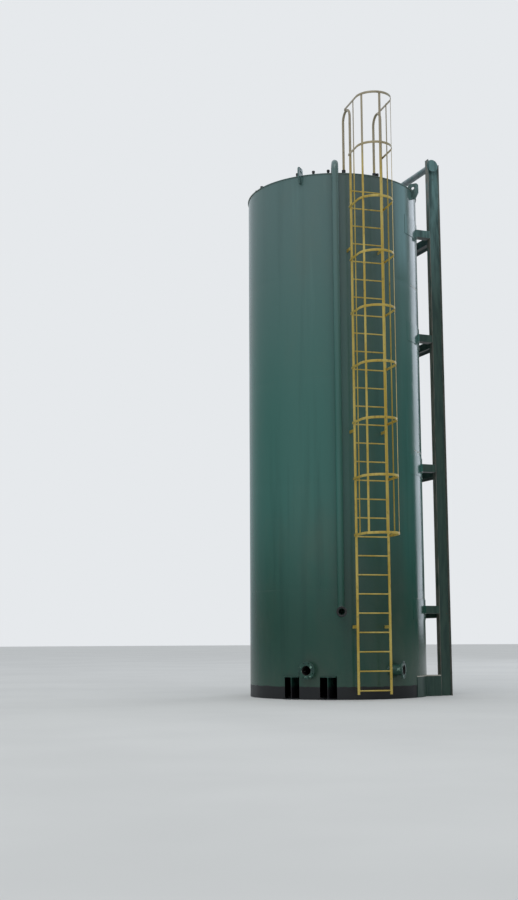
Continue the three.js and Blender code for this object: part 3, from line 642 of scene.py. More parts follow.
@as_material
def chipped_enamel(tree, place, colours):
    """Enamel on the nozzles' flanges, knocked by hose couplings down to its pale green undercoat."""
    grime = patches(tree, place, (50, 50, 70), 5.0, (0.44, 0.64), (0.0, 0.7))
    chips = patches(tree, place, (60, 60, 50), 5.0, (0.625, 0.645), roughness=0.6)
    rust = patches(tree, place, (30, 30, 30), 5.0, (0.64, 0.66), roughness=0.65)
    # The base is the shell's low colour, which carries its painted shade
    skin = layered(tree, colours.shell_foot, (grime, colours.shell_run), (chips, colours.undercoat),
                   (rust, colours.rust))
    roughness = add_node(tree, "MapRange", {"Value": grime, "From Max": 0.7, "To Min": 0.30,
                                            "To Max": 0.55}, **SOFT)
    finish_material(tree, skin, roughness, chips, 0.0004)


def foot_pad_highlight(tree, height, outwards):
    """Share of the pale strip along the top edge of the foot pads and base struts: a painted highlight where
    that edge catches the light.
    """
    sizes = bpy.context.scene.tank_steelwork
    top, inner = sizes.foot_pad_top, sizes.post_inner
    over = add_node(tree, "MapRange", {"Value": height, "From Min": top - 0.018, "From Max": top - 0.014,
                                       "To Max": 0.9}, **SOFT)
    below = add_node(tree, "MapRange", {"Value": height, "From Min": top + 0.002, "From Max": top + 0.004,
                                        "To Min": 1.0, "To Max": 0.0}, **SOFT)
    inside = add_node(tree, "MapRange", {"Value": outwards, "From Min": inner - 0.004, "From Max": inner,
                                         "To Min": 1.0, "To Max": 0.0}, **SOFT)
    return overlap(tree, over, below, inside)


@as_material
def rubbed_skid_paint(tree, place, colours):
    """Skid paint dragged along the ground in use: rubbed to primer and rust on the outer faces, with painted
    shade on faces that look down and a painted highlight along the foot pads' top edge.
    """
    sizes = bpy.context.scene.tank_steelwork
    height = add_node(tree, "SeparateXYZ", {0: place}, output="Z")
    turned = add_node(tree, "Mapping", {"Vector": place, "Rotation": (0.0, 0.0, -sizes.skid_turn)})
    outwards = add_node(tree, "SeparateXYZ", {0: turned}, output="X")
    inner, outer = sizes.post_inner, sizes.post_outer - sizes.post_flange
    faded = add_node(tree, "MapRange", {"Value": height, "From Min": 6.3, "From Max": RIM + 0.6}, **SOFT)
    grime = patches(tree, place, (60, 60, 500), 5.0, (0.40, 0.66), (0.0, 0.7))
    past_inner = add_node(tree, "MapRange", {"Value": outwards, "From Min": inner - 0.002,
                                             "From Max": inner}, **SOFT)
    on_inner = add_node(tree, "MapRange", {"Value": outwards, "From Min": inner + 0.001,
                                           "From Max": inner + 0.012, "To Min": 0.9, "To Max": 0.0}, **SOFT)
    on_outer = add_node(tree, "MapRange", {"Value": outwards, "From Min": outer - 0.002,
                                           "From Max": outer, "To Max": 0.8}, **SOFT)
    exposed = add_node(tree, "Math", {0: overlap(tree, past_inner, on_inner), 1: on_outer},
                       operation="MAXIMUM")
    rubbed = patches(tree, turned, (50, 30, 350), 6.0, (0.36, 0.56), roughness=0.65)
    worn = overlap(tree, exposed, rubbed)
    spots = patches(tree, turned, (30, 30, 100), 5.0, (0.54, 0.66), (0.0, 0.6), roughness=0.65)
    chips = patches(tree, place, (30, 30, 60), 6.0, (0.66, 0.68), roughness=0.7)
    # Faces that look down are painted near-black: painted shade under the skid's members
    slope = add_node(tree, "SeparateXYZ", {0: add_node(tree, "TexCoord", output="Normal")}, output="Z")
    under = add_node(tree, "MapRange", {"Value": slope, "From Min": -0.4, "From Max": -0.8,
                                        "To Max": 0.8}, **SOFT)
    skin = layered(tree, colours.skid_low, (faded, colours.skid_high), (grime, colours.shell_run),
                   (worn, colours.skid_primer), (overlap(tree, worn, spots), colours.rust),
                   (chips, colours.rust), (under, colours.foot_band_and_underside_shade),
                   # Painted highlight along the top edge of the foot pads and base struts
                   (foot_pad_highlight(tree, height, outwards), colours.chip_and_highlight))
    # The struts' ends were sprayed with the shell's enamel
    flat_place = add_node(tree, "VectorMath", {0: place, 1: (1.0, 1.0, 0.0)}, operation="MULTIPLY")
    from_axis = add_node(tree, "VectorMath", {0: flat_place}, output="Value", operation="LENGTH")
    radius = bpy.context.scene.tank_shell.radius
    at_shell = add_node(tree, "MapRange", {"Value": from_axis, "From Min": radius + 0.02,
                                           "From Max": radius + 0.03, "To Min": 1.0, "To Max": 0.0}, **SOFT)
    over_foot = add_node(tree, "MapRange", {"Value": height, "From Min": 0.55, "From Max": 0.60}, **SOFT)
    sprayed = overlap(tree, at_shell, over_foot)
    skin = layered(tree, skin, (sprayed, enamel_colour(tree, height)[0]))
    dull = add_node(tree, "MapRange", {"Value": worn, "To Min": 0.42, "To Max": 0.75}, **SOFT)
    roughness = add_node(tree, "Mix", {0: sprayed, 2: dull, 3: 0.18})
    mill_scale = grain(tree, place, (8, 8, 30), 4.0)
    finish_material(tree, skin, roughness, mill_scale, 0.0006)


@as_material
def worn_pipe(tree, place, colours):
    """Pipe that the tank was rolled on: paint rubbed off to dull grey steel, with brown rust in patches."""
    left_paint = patches(tree, place, (120, 120, 120), 5.0, (0.46, 0.60), (0.0, 0.7), roughness=0.6)
    rust = patches(tree, place, (50, 50, 50), 6.0, (0.58, 0.66), (0.0, 0.6), roughness=0.65)
    skin = layered(tree, colours.worn_steel, (left_paint, colours.skid_high), (rust, colours.rust))
    roughness = add_node(tree, "MapRange", {"Value": rust, "From Max": 0.6, "To Min": 0.38,
                                            "To Max": 0.7}, **SOFT)
    scratches = grain(tree, place, (20, 20, 6), 4.0)
    finish_material(tree, skin, roughness, scratches, 0.0004, metallic=0.3)


@as_material
def safety_yellow(tree, place, colours):
    """Brushed yellow safety enamel on pipe and flat bar, bleached, chipped and dirty, with painted shade over
    the rim.
    """
    height = add_node(tree, "SeparateXYZ", {0: place}, output="Z")
    bleach = patches(tree, place, (250, 250, 600), 4.0, (0.40, 0.64))
    # Darker and greyer over the rim: painted shade on the backlit goosenecks
    backlit_shade = add_node(tree, "MapRange", {"Value": height, "From Min": RIM - 0.4, "From Max": RIM + 0.5,
                                       "To Max": 0.85}, **SOFT)
    grime = patches(tree, place, (50, 50, 90), 5.0, (0.54, 0.74), (0.0, 0.6), roughness=0.6)
    chips = patches(tree, place, (22, 22, 30), 5.0, (0.68, 0.70), roughness=0.65)
    skin = layered(tree, colours.yellow, (bleach, colours.yellow_pale), (backlit_shade, colours.yellow_backlit_shade),
                   (grime, colours.grime), (chips, colours.dark_rust))
    roughness = add_node(tree, "MapRange", {"Value": grime, "From Max": 0.75, "To Min": 0.38,
                                            "To Max": 0.62}, **SOFT)
    brush_marks = grain(tree, place, (8, 8, 40), 3.0)
    finish_material(tree, skin, roughness, brush_marks, 0.0003)


@as_material
def black_primer(tree, place, colours):
    """Matt black primer on pipe stubs and collars, with rust coming through."""
    rust = patches(tree, place, (30, 30, 50), 5.0, (0.56, 0.66), (0.0, 0.8), roughness=0.65)
    film = patches(tree, place, (20, 20, 20), 3.0, (0.50, 0.75), (0.0, 0.25))
    skin = layered(tree, colours.black, (rust, colours.dark_rust), (film, colours.dust))
    roughness = add_node(tree, "MapRange", {"Value": rust, "From Max": 0.8, "To Min": 0.5,
                                            "To Max": 0.85}, **SOFT)
    finish_material(tree, skin, roughness, rust, 0.0003)


@as_material
def rusty_bore(tree, place, colours):
    """Bare machined steel left open: brown rust, darker deep in, with pale scraped spots."""
    deep = patches(tree, place, (30, 30, 30), 5.0, (0.38, 0.62), roughness=0.6)
    chips = patches(tree, place, (18, 18, 18), 4.0, (0.63, 0.66), roughness=0.6)
    skin = layered(tree, colours.black, (deep, colours.dark_rust), (chips, colours.chip_and_highlight))
    roughness = add_node(tree, "MapRange", {"Value": chips, "To Min": 0.85, "To Max": 0.45}, **SOFT)
    finish_material(tree, skin, roughness, deep, 0.0008)


@as_material
def red_oxide_lining(tree, place, colours):
    """Red oxide primer rolled on the inside of the plates."""
    damp = patches(tree, place, (300, 300, 600), 5.0, (0.40, 0.65))
    skin = layered(tree, colours.oxide, (damp, colours.dark_rust))
    roughness = add_node(tree, "MapRange", {"Value": damp, "To Min": 0.6, "To Max": 0.85}, **SOFT)
    finish_material(tree, skin, roughness, damp, 0.0005)


@as_material
def zinc_plate(tree, place, colours):
    """Zinc plated fasteners, dulled outdoors."""
    dull = patches(tree, place, (10, 10, 10), 4.0, (0.40, 0.65))
    skin = layered(tree, colours.zinc, (overlap(tree, dull, 0.6), colours.dust))
    roughness = add_node(tree, "MapRange", {"Value": dull, "To Min": 0.35, "To Max": 0.7}, **SOFT)
    finish_material(tree, skin, roughness, dull, 0.0002, metallic=1.0)


@as_material
def gasket_rubber(tree, place, colours):
    """Black nitrile rubber sheet between the hatch flanges, with a grey bloom."""
    bloom = patches(tree, place, (20, 20, 20), 3.0, (0.45, 0.70), (0.0, 0.25))
    skin = layered(tree, colours.rubber, (bloom, colours.dust))
    roughness = add_node(tree, "MapRange", {"Value": bloom, "From Max": 0.25, "To Min": 0.6,
                                            "To Max": 0.8}, **SOFT)
    finish_material(tree, skin, roughness, bloom, 0.0002)


@as_material
def studio_floor(tree, place, colours):
    """Plain pale matt floor, dimmer where the tank's gloss mirrors it."""
    mottle = patches(tree, place, (3000, 3000, 3000), 3.0, (0.3, 0.7))
    shade = [0.94 * channel for channel in colours.floor[:3]] + [1.0]
    mirrored = add_node(tree, "LightPath", output="Is Glossy Ray")
    skin = layered(tree, colours.floor, (mottle, shade), (overlap(tree, mirrored, 0.35), colours.sky_dim))
    surface = add_node(tree, "BsdfPrincipled", {"Base Color": skin, "Roughness": 0.85})
    add_node(tree, "OutputMaterial", {"Surface": surface})


# Shell

def course_outline(sizes, bottom, top):
    """Radii and heights of one course, pulled in near the girth welds above and below it."""
    near = [0.0, 0.02, 0.045, 0.075, 0.12]
    plain = 6
    heights = [bottom + offset for offset in near]
    first, last = bottom + near[-1], top - near[-1]
    heights += [first + (last - first) * i / plain for i in range(1, plain)]
    heights += [top - offset for offset in reversed(near)]
    seams = [height for height in (bottom, top) if height > 0]

    def radius(height):
        dip = sum(exp(-((height - seam) / sizes.seam_reach) ** 2) for seam in seams)
        return sizes.radius - sizes.seam_dip * dip

    return [(radius(height), height) for height in heights]


def wave_plate(shape, sizes):
    """Moves the plate in by up to the wave's depth, as rolled plate does between its welds."""
    for vert in shape.verts:
        depth = sizes.wave * (0.5 + 0.5 * noise.noise(vert.co / sizes.wave_length))
        outwards = Vector((vert.co.x, vert.co.y, 0.0)).normalized()
        vert.co -= outwards * depth


def bead_section(sizes, base):
    """Half-round outline of a weld bead, as distances from the plate and along it."""
    half = sizes.weld_width / 2
    points = [(base + sizes.weld_height * sin(pi * i / 4), -half * cos(pi * i / 4)) for i in range(5)]
    return [(base - sizes.wall / 2, -half)] + points + [(base - sizes.wall / 2, half)]


class TANK_OT_shell(Operator):
    """Builds the five courses of shell plate, their lining and their welds"""

    bl_idname = "tank.shell"
    bl_label = "Shell"

    def execute(self, context):
        sizes = context.scene.tank_shell
        for i, node in enumerate(COURSES):
            low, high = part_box(node)
            shape = lathe(course_outline(sizes, low.z, high.z), sizes.segments)
            wave_plate(shape, sizes)
            piece = make_piece(f"shell_plate_{i + 1}", shape, gloss_enamel(), "tank_green", node)
            piece.data.materials.append(red_oxide_lining())
            give_wall(piece, sizes.wall, inner_slot=1)
            if i == 0:
                cut(piece, self.openings(sizes, context.scene.tank_piping.nozzle_radius))
        self.welds(sizes)
        return {"FINISHED"}

    def openings(self, sizes, nozzle_radius):
        """Notches for the base beams and holes for the two nozzles."""
        shape = bmesh.new()
        for node in ("base_beam_left", "base_beam_right"):
            low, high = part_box(node)
            gap = sizes.notch_gap
            notch = block((low.x - gap, low.y - OVERCUT, -OVERCUT), (high.x + gap, 0.0, high.z + 0.002))
            stamp(shape, notch, [Matrix()])
        # From well inside the shell to outside it, as heights from the nozzle's face
        hole = rod(nozzle_radius, -0.4, 0.1, 32)
        return stamp(shape, hole, nozzle_places())

    def welds(self, sizes):
        """Girth welds between the courses and two upright welds in each course."""
        shape = bmesh.new()
        girths = [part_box(node)[1].z for node in COURSES[:-1]]
        section = bead_section(sizes, sizes.radius - sizes.seam_dip - sizes.wave)
        for height in girths:
            outline = [(radius, height + along) for radius, along in section]
            stamp(shape, lathe(outline, sizes.segments, closed=True), [Matrix()])
        section = bead_section(sizes, sizes.radius - sizes.wave)
        for i, node in enumerate(COURSES):
            low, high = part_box(node)
            start = max(low.z, FLOOR)
            upright = bar([(along, -radius, start) for radius, along in section], (0, 0, high.z - start))
            azimuth = sizes.upright_weld + i * sizes.upright_shift
            stamp(shape, upright, [facing(azimuth), facing(azimuth + pi)])
        make_piece("shell_welds", shape, gloss_enamel(), "tank_green")


# Roof

class TANK_OT_roof(Operator):
    """Builds the roof plate with its handrail stubs and ladder sockets"""

    bl_idname = "tank.roof"
    bl_label = "Roof"

    def execute(self, context):
        sizes = context.scene.tank_roof
        shell = context.scene.tank_shell
        self.plate(sizes, shell)
        self.stubs(sizes)
        self.sockets(sizes, context.scene.tank_ladder)
        return {"FINISHED"}

    def plate(self, sizes, shell):
        """A flat plate whose sheared edge stands out as a lip, over a fillet weld."""
        edge = shell.radius + sizes.lip
        top = RIM + sizes.thickness
        round_off = 0.002
        outline = [
            (0, RIM), (shell.radius - shell.wall, RIM), (edge - round_off, RIM), (edge, RIM + round_off),
            (edge, top - round_off), (edge - round_off, top), (shell.radius * 0.66, top),
            (shell.radius * 0.33, top), (0, top),
        ]
        shape = lathe(outline, shell.segments)
        leg = 0.007
        base = shell.radius - shell.seam_dip - shell.wave
        fillet = [(base - 0.003, RIM - leg), (base, RIM - leg), (base + 0.6 * leg, RIM - 0.6 * leg),
                  (base + leg, RIM + 0.001), (base - 0.003, RIM + 0.001)]
        stamp(shape, lathe(fillet, shell.segments, closed=True), [Matrix()])
        seam = bead_section(shell, top - SUNK)
        reach = shell.radius - 0.06
        across = bar([(-reach, along, height) for height, along in seam], (2 * reach, 0, 0))
        stamp(shape, across, [Matrix.Rotation(sizes.seam, 4, "Z")])
        make_piece("roof_deck", shape, roof_enamel(), "tank_green", "roof_plate")

    # Degrees, of those that are seen in front. Each has another one opposite
    stub_azimuths = (-51.8, -42.1, -6.2, 5.6, 15.9, 51.8)

    def stubs(self, sizes):
        """Short capped pipe stubs that a handrail would stand in."""
        top = sizes.stub_height
        cap = top - sizes.cap_height
        outline = [
            (0, -SUNK), (sizes.stub_radius + 0.006, -SUNK), (sizes.stub_radius, 0.006),
            (sizes.stub_radius, cap), (sizes.cap_radius - 0.001, cap), (sizes.cap_radius, cap + 0.001),
            (sizes.cap_radius, top - 0.004), (sizes.cap_radius - 0.004, top), (0, top),
        ]
        roof = RIM + sizes.thickness
        places = [facing(radians(azimuth + half_turn), sizes.stub_distance, roof)
                  for half_turn in (0, 180) for azimuth in self.stub_azimuths]
        shape = placed(lathe(outline, 24), *places)
        make_piece("handrail_stubs", shape, black_primer(), "tank_green", "roof_plate")

    def sockets(self, sizes, ladder):
        """Collars on the roof that hold the feet of the goosenecks."""
        top = sizes.socket_height
        outline = [
            (0, -SUNK), (sizes.socket_radius + 0.007, -SUNK), (sizes.socket_radius, 0.007),
            (sizes.socket_radius, top - 0.002), (sizes.socket_radius - 0.002, top), (0, top),
        ]
        turned = facing(ladder.azimuth, ladder.distance - 2 * ladder.bend, RIM + sizes.thickness)
        places = [turned @ Matrix.Translation((side * ladder.spacing / 2, 0, 0)) for side in (-1, 1)]
        shape = placed(lathe(outline, 24), *places)
        make_piece("ladder_sockets", shape, black_primer(), "ladder_yellow", "roof_plate")


class TANK_OT_hatch(Operator):
    """Builds the bolted roof hatch with its gasket, bolts and lifting handles"""

    bl_idname = "tank.hatch"
    bl_label = "Hatch"

    def execute(self, context):
        sizes = context.scene.tank_roof
        place = facing(sizes.hatch_azimuth, sizes.hatch_distance, RIM + sizes.thickness)
        radius, neck_top = sizes.lid_radius, sizes.neck_height
        flange_under = neck_top - sizes.lid_thickness
        lid_top = neck_top + sizes.lid_thickness
        weld, gasket, edge = 0.008, 0.003, 0.0015
        lid_under = neck_top + gasket
        neck = [
            (0, 0), (sizes.hatch_radius + weld, 0), (sizes.hatch_radius, weld),
            (sizes.hatch_radius, flange_under), (radius, flange_under), (radius, neck_top), (0, neck_top),
        ]
        make_piece("hatch_neck", placed(lathe(neck, 64), place), weathered_enamel(), "tank_green",
                   "roof_hatch")
        seal = rod(radius - 0.002, neck_top, lid_under, 64)
        make_piece("hatch_gasket", placed(seal, place), gasket_rubber(), "tank_green", "roof_hatch")
        shape = placed(disc(radius, lid_under, lid_top, edge, 64), place)
        self.handles(shape, place, lid_top)
        make_piece("hatch_lid", shape, roof_enamel(), "tank_green", "roof_hatch")
        self.bolts(sizes, place, lid_top)
        return {"FINISHED"}

    def handles(self, shape, place, lid_top):
        """Two handles of round bar, bent to a U and welded on."""
        radius, half, rise, bend, off_middle = 0.008, 0.07, 0.055, 0.02, 0.15
        handle = bmesh.new()
        edges = ring(handle, radius, 10, Matrix.Translation((-half, 0, 0)))
        edges = drag(handle, edges, (0, 0, rise - bend))
        edges = turn(handle, edges, (-half + bend, 0, rise - bend), (0, 1, 0), pi / 2, 5)
        edges = drag(handle, edges, (2 * (half - bend), 0, 0))
        edges = turn(handle, edges, (half - bend, 0, rise - bend), (0, 1, 0), pi / 2, 5)
        drag(handle, edges, (0, 0, bend - rise))
        spots = [place @ Matrix.Translation((side * off_middle, 0, lid_top)) @ Matrix.Rotation(pi / 2, 4, "Z")
                 for side in (-1, 1)]
        stamp(shape, close_ends(handle), spots)

    def bolts(self, sizes, place, lid_top):
        """Hexagon bolts on a circle near the edge of the lid."""
        hexagon, head, circle = 0.012, 0.008, sizes.lid_radius - 0.014
        bolt = lathe([(0, -SUNK), (hexagon, -SUNK), (hexagon, head - 0.001), (hexagon - 0.001, head),
                      (0, head)], 6)
        step = 2 * pi / sizes.hatch_bolts
        spots = [place @ Matrix.Rotation(i * step, 4, "Z") @ Matrix.Translation((circle, 0, lid_top))
                 for i in range(sizes.hatch_bolts)]
        make_piece("hatch_bolts", placed(bolt, *spots), zinc_plate(), "tank_green", "roof_hatch")


# Cut plate and rolled sections

class TANK_OT_lugs(Operator):
    """Finishes the four lifting lugs and welds them to the shell"""

    bl_idname = "tank.lugs"
    bl_label = "Lifting lugs"

    def execute(self, context):
        sizes = context.scene.tank_steelwork
        radius = context.scene.tank_shell.radius
        for word in ("front", "right", "back", "left"):
            node = f"lifting_lug_{word}"
            piece = make_piece(f"lug_{word}", softened(node, sizes.edge, 0.0), weathered_enamel(),
                               "tank_green", node)
            even_faces(piece)
        leg, half = sizes.lug_weld, sizes.lug_thickness / 2
        inside = radius - 0.004
        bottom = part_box("lifting_lug_front")[0].z
        places = [facing(sizes.lug_azimuth + i * pi / 2) for i in range(4)]
        welds = bmesh.new()
        for side in (-1, 1):
            outline = [(side * (half - SUNK), -inside, bottom), (side * (half + leg), -inside, bottom),
                       (side * (half + 0.4 * leg), -(radius + 0.4 * leg), bottom),
                       (side * (half - SUNK), -(radius + leg), bottom)]
            stamp(welds, bar(outline, (0, 0, RIM - bottom)), places)
        make_piece("lug_welds", welds, weathered_enamel(), "tank_green")
        return {"FINISHED"}


class TANK_OT_base(Operator):
    """Finishes the base beams, their tie and the floor plate"""

    bl_idname = "tank.base"
    bl_label = "Base"

    def execute(self, context):
        sizes = context.scene.tank_steelwork
        for node in ("base_beam_left", "base_beam_right", "base_tie"):
            shape = softened(node, sizes.edge, sizes.beam_root)
            piece = make_piece(node.replace("base", "under"), shape, weathered_enamel(), "tank_green", node)
            even_faces(piece)
        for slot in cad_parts["floor_plate"].material_slots:
            slot.material = red_oxide_lining()
        return {"FINISHED"}


class TANK_OT_skid(Operator):
    """Finishes the skid's posts, struts and cross members and builds its roll pipe"""

    bl_idname = "tank.skid"
    bl_label = "Skid"

    def execute(self, context):
        sizes = context.scene.tank_steelwork
        kinds = ("skid_post", "strut", "base_strut", "cross_")
        for node in sorted(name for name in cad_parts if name.startswith(kinds)):
            shape = softened(node, sizes.edge, sizes.root)
            piece = even_faces(make_piece(f"steel_{node}", shape, rubbed_skid_paint(), "skid_green", node))
            # The struts break the shell's bright edge in the photograph, and the posts beside it don't
            piece.visible_glossy = "strut" in node
        self.foot_pads(sizes, context.scene.tank_shell.radius)
        self.roll_pipe(sizes)
        return {"FINISHED"}

    def foot_pads(self, sizes, radius):
        """Bent plates on the shell's foot that the base struts are welded to."""
        inside, outside, top = radius - 0.004, radius + 0.008, sizes.foot_pad_top
        corners = [(inside, 0.0), (outside, 0.0), (outside, top), (inside, top)]
        near, far = asin(sizes.foot_pad_near / radius), asin(sizes.foot_pad_far / radius)
        for word, side in (("front", -1), ("rear", 1)):
            shape = bmesh.new()
            face = shape.faces.new([shape.verts.new((distance, 0.0, z)) for distance, z in corners])
            turn(shape, list(face.edges), (0, 0, 0), (0, 0, 1), side * (far - near), 16)
            pad = placed(close_ends(shape), Matrix.Rotation(sizes.skid_turn + side * near, 4, "Z"))
            make_piece(f"foot_pad_{word}", pad, rubbed_skid_paint(), "skid_green", f"base_strut_{word}")

    def roll_pipe(self, sizes):
        """A pipe across the posts with a disc welded on each end."""
        reach, inside = sizes.roll_pipe_reach, sizes.roll_pipe_reach - sizes.disc_thickness
        place = (Matrix.Rotation(sizes.skid_turn, 4, "Z")
                 @ Matrix.Translation((sizes.roll_pipe_axis, 0, sizes.roll_pipe_height))
                 @ Matrix.Rotation(pi / 2, 4, "X"))
        pipe = rod(sizes.roll_pipe_radius, -inside, inside, 40)
        make_piece("roll_bar", placed(pipe, place), worn_pipe(), "skid_green", "roll_pipe")
        plate = disc(sizes.disc_radius, inside, reach, sizes.edge, 48)
        discs = placed(plate, place, place @ Matrix.Rotation(pi, 4, "X"))
        make_piece("roll_discs", discs, rubbed_skid_paint(), "skid_green", "roll_pipe")


# Ladder and cage

class TANK_OT_ladder(Operator):
    """Builds the ladder, its goosenecks and its brackets"""

    bl_idname = "tank.ladder"
    bl_label = "Ladder"

    def execute(self, context):
        sizes = context.scene.tank_ladder
        turned = facing(sizes.azimuth)
        self.rails(sizes, turned)
        for word, side in (("left", -1), ("right", 1)):
            self.gooseneck(sizes, turned, word, side)
            for i in (1, 2, 3):
                node = f"ladder_bracket_{word}_{i}"
                shape = softened(node, context.scene.tank_steelwork.edge / 2, 0.0)
                even_faces(make_piece(f"rail_arm_{word}_{i}", shape, safety_yellow(), "ladder_yellow", node))
        return {"FINISHED"}

    def rails(self, sizes, turned):
        """Two pipe rails and the round rungs between them, each rung welded on."""
        half, radius, edge = sizes.spacing / 2, sizes.rail_radius, 0.002
        run = sizes.rail_join - sizes.rail_foot
        rail = lathe([(0, 0), (radius - edge, 0), (radius, edge), (radius, run), (0, run)], 24)
        spots = [turned @ Matrix.Translation((side * half, -sizes.distance, sizes.rail_foot))
                 for side in (-1, 1)]
        shape = placed(rail, *spots)
        end = half - 0.6 * radius
        weld_start = half - radius - 0.006
        side_outline = [(0, end), (sizes.rung_radius + 0.006, end), (sizes.rung_radius + 0.004, half - 0.019),
                        (sizes.rung_radius, weld_start)]
        rung = lathe(side_outline + [(radius, -along) for radius, along in reversed(side_outline)], 14)
        across = Matrix.Rotation(pi / 2, 4, "Y")
        heights = [sizes.rung_first + i * sizes.rung_step for i in range(sizes.rungs)]
        spots = [turned @ Matrix.Translation((0, -sizes.distance, height)) @ across for height in heights]
        stamp(shape, rung, spots)
        make_piece("ladder_rails_and_rungs", shape, safety_yellow(), "ladder_yellow", "ladder")

    def gooseneck(self, sizes, turned, word, side):
        """A rail that goes on over the rim and down into its socket on the roof."""
        roof = bpy.context.scene.tank_roof
        start = (side * sizes.spacing / 2, -sizes.distance, sizes.rail_join)
        run = sizes.top - sizes.bend - sizes.rail_join
        foot = RIM + roof.thickness + roof.socket_height
        shape = close_ends(over_the_rim(sizes.rail_radius, 24, start, run, sizes.bend, foot))
        make_piece(f"handrail_bend_{word}", placed(shape, turned), safety_yellow(), "ladder_yellow",
                   f"gooseneck_{word}")


class TANK_OT_cage(Operator):
    """Builds the safety cage's hoops, upright bars and their welds"""

    bl_idname = "tank.cage"
    bl_label = "Cage"

    def execute(self, context):
        sizes = context.scene.tank_ladder
        turned = facing(sizes.azimuth)
        inside = sizes.spacing / 2 + sizes.rail_radius + 0.0004
        heights = [sizes.hoop_first + i * sizes.hoop_step for i in range(sizes.hoops - 1)]
        heights.append(sizes.top + sizes.top_hoop_rise)
        nodes = ("cage_lower", "cage_middle", "cage_upper")
        hoops = bmesh.new()
        for i, height in enumerate(heights):
            setback = sizes.bend if i == len(heights) - 1 else 0.0
            back = -(sizes.distance - setback) + sizes.hoop_lap
            stamp(hoops, self.hoop(sizes, inside, back), [turned @ Matrix.Translation((0, 0, height))])
        make_piece("cage_hoops", hoops, safety_yellow(), "ladder_yellow", *nodes)
        spots = [turned @ spot for spot in self.bar_places(sizes, inside)]
        foot, head = heights[0] - sizes.bar_width / 2, heights[-1] + sizes.bar_width / 2
        bars = placed(self.upright(sizes, foot, head), *spots)
        self.welds(sizes, bars, spots, heights)
        make_piece("cage_bars", bars, safety_yellow(), "ladder_yellow", *nodes)
        return {"FINISHED"}

    def hoop(self, sizes, inside, back):
        """Flat bar bent to a U, drawn at height nought."""
        half, outside = sizes.bar_width / 2, inside + sizes.bar_thickness
        centre = -(sizes.distance + sizes.hoop_straight)
        shape = bmesh.new()
        corners = [(-outside, -half), (-inside, -half), (-inside, half), (-outside, half)]
        face = shape.faces.new([shape.verts.new((x, back, z)) for x, z in corners])
        edges = drag(shape, list(face.edges), (0, centre - back, 0))
        edges = turn(shape, edges, (0, centre, 0), (0, 0, 1), pi, 28)
        drag(shape, edges, (0, back - centre, 0))
        close_ends(shape)
        arrises = [edge for edge in shape.edges if edge.calc_face_angle() > CORNER_ANGLE]
        round_edges(shape, arrises, 0.001, 2)
        return shape

    def bar_places(self, sizes, inside):
        """Places of the five upright bars, each with its own -Y pointing at the hoop."""
        outer = inside + sizes.bar_thickness / 4
        centre = Matrix.Translation((0, -(sizes.distance + sizes.hoop_straight), 0))
        places = [centre @ facing(corner, outer) for corner in (-sizes.corner_angle, 0.0, sizes.corner_angle)]
        for side in (-1, 1):
            spot = Matrix.Translation((side * outer, -(sizes.distance + sizes.side_bar), 0))
            places.append(spot @ Matrix.Rotation(side * pi / 2, 4, "Z"))
        return places

    def upright(self, sizes, foot, head):
        """One upright flat bar with its outer face at its own y of nought."""
        half = sizes.bar_width / 2
        shape = block((-half, 0, foot), (half, sizes.bar_thickness, head))
        round_edges(shape, shape.edges[:], 0.001, 2)
        return shape

    def welds(self, sizes, bars, spots, heights):
        """A short weld up each side of every bar where it crosses a hoop."""
        leg, half, base = 0.004, sizes.bar_width / 2, sizes.bar_thickness / 4
        bottom = -half + leg
        places = [spot @ Matrix.Translation((0, 0, height)) for spot in spots for height in heights]
        for side in (-1, 1):
            outline = [(side * (half - SUNK), base - SUNK, bottom),
                       (side * (half + leg), base - SUNK, bottom),
                       (side * (half + 0.3 * leg), base + 0.7 * leg, bottom),
                       (side * (half - SUNK), base + leg, bottom)]
            stamp(bars, bar(outline, (0, 0, sizes.bar_width - 2 * leg)), places)


# Pipes and nozzles

def nozzle_places():
    """Places of the two nozzles' faces, each with its own Z pointing out of the tank."""
    low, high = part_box("nozzle_front")
    front = Matrix.Translation((0, low.y, (low.z + high.z) / 2)) @ Matrix.Rotation(pi / 2, 4, "X")
    low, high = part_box("nozzle_side")
    side_point = (high.x, (low.y + high.y) / 2, (low.z + high.z) / 2)
    side = Matrix.Translation(side_point) @ Matrix.Rotation(pi / 2, 4, "Y")
    return front, side


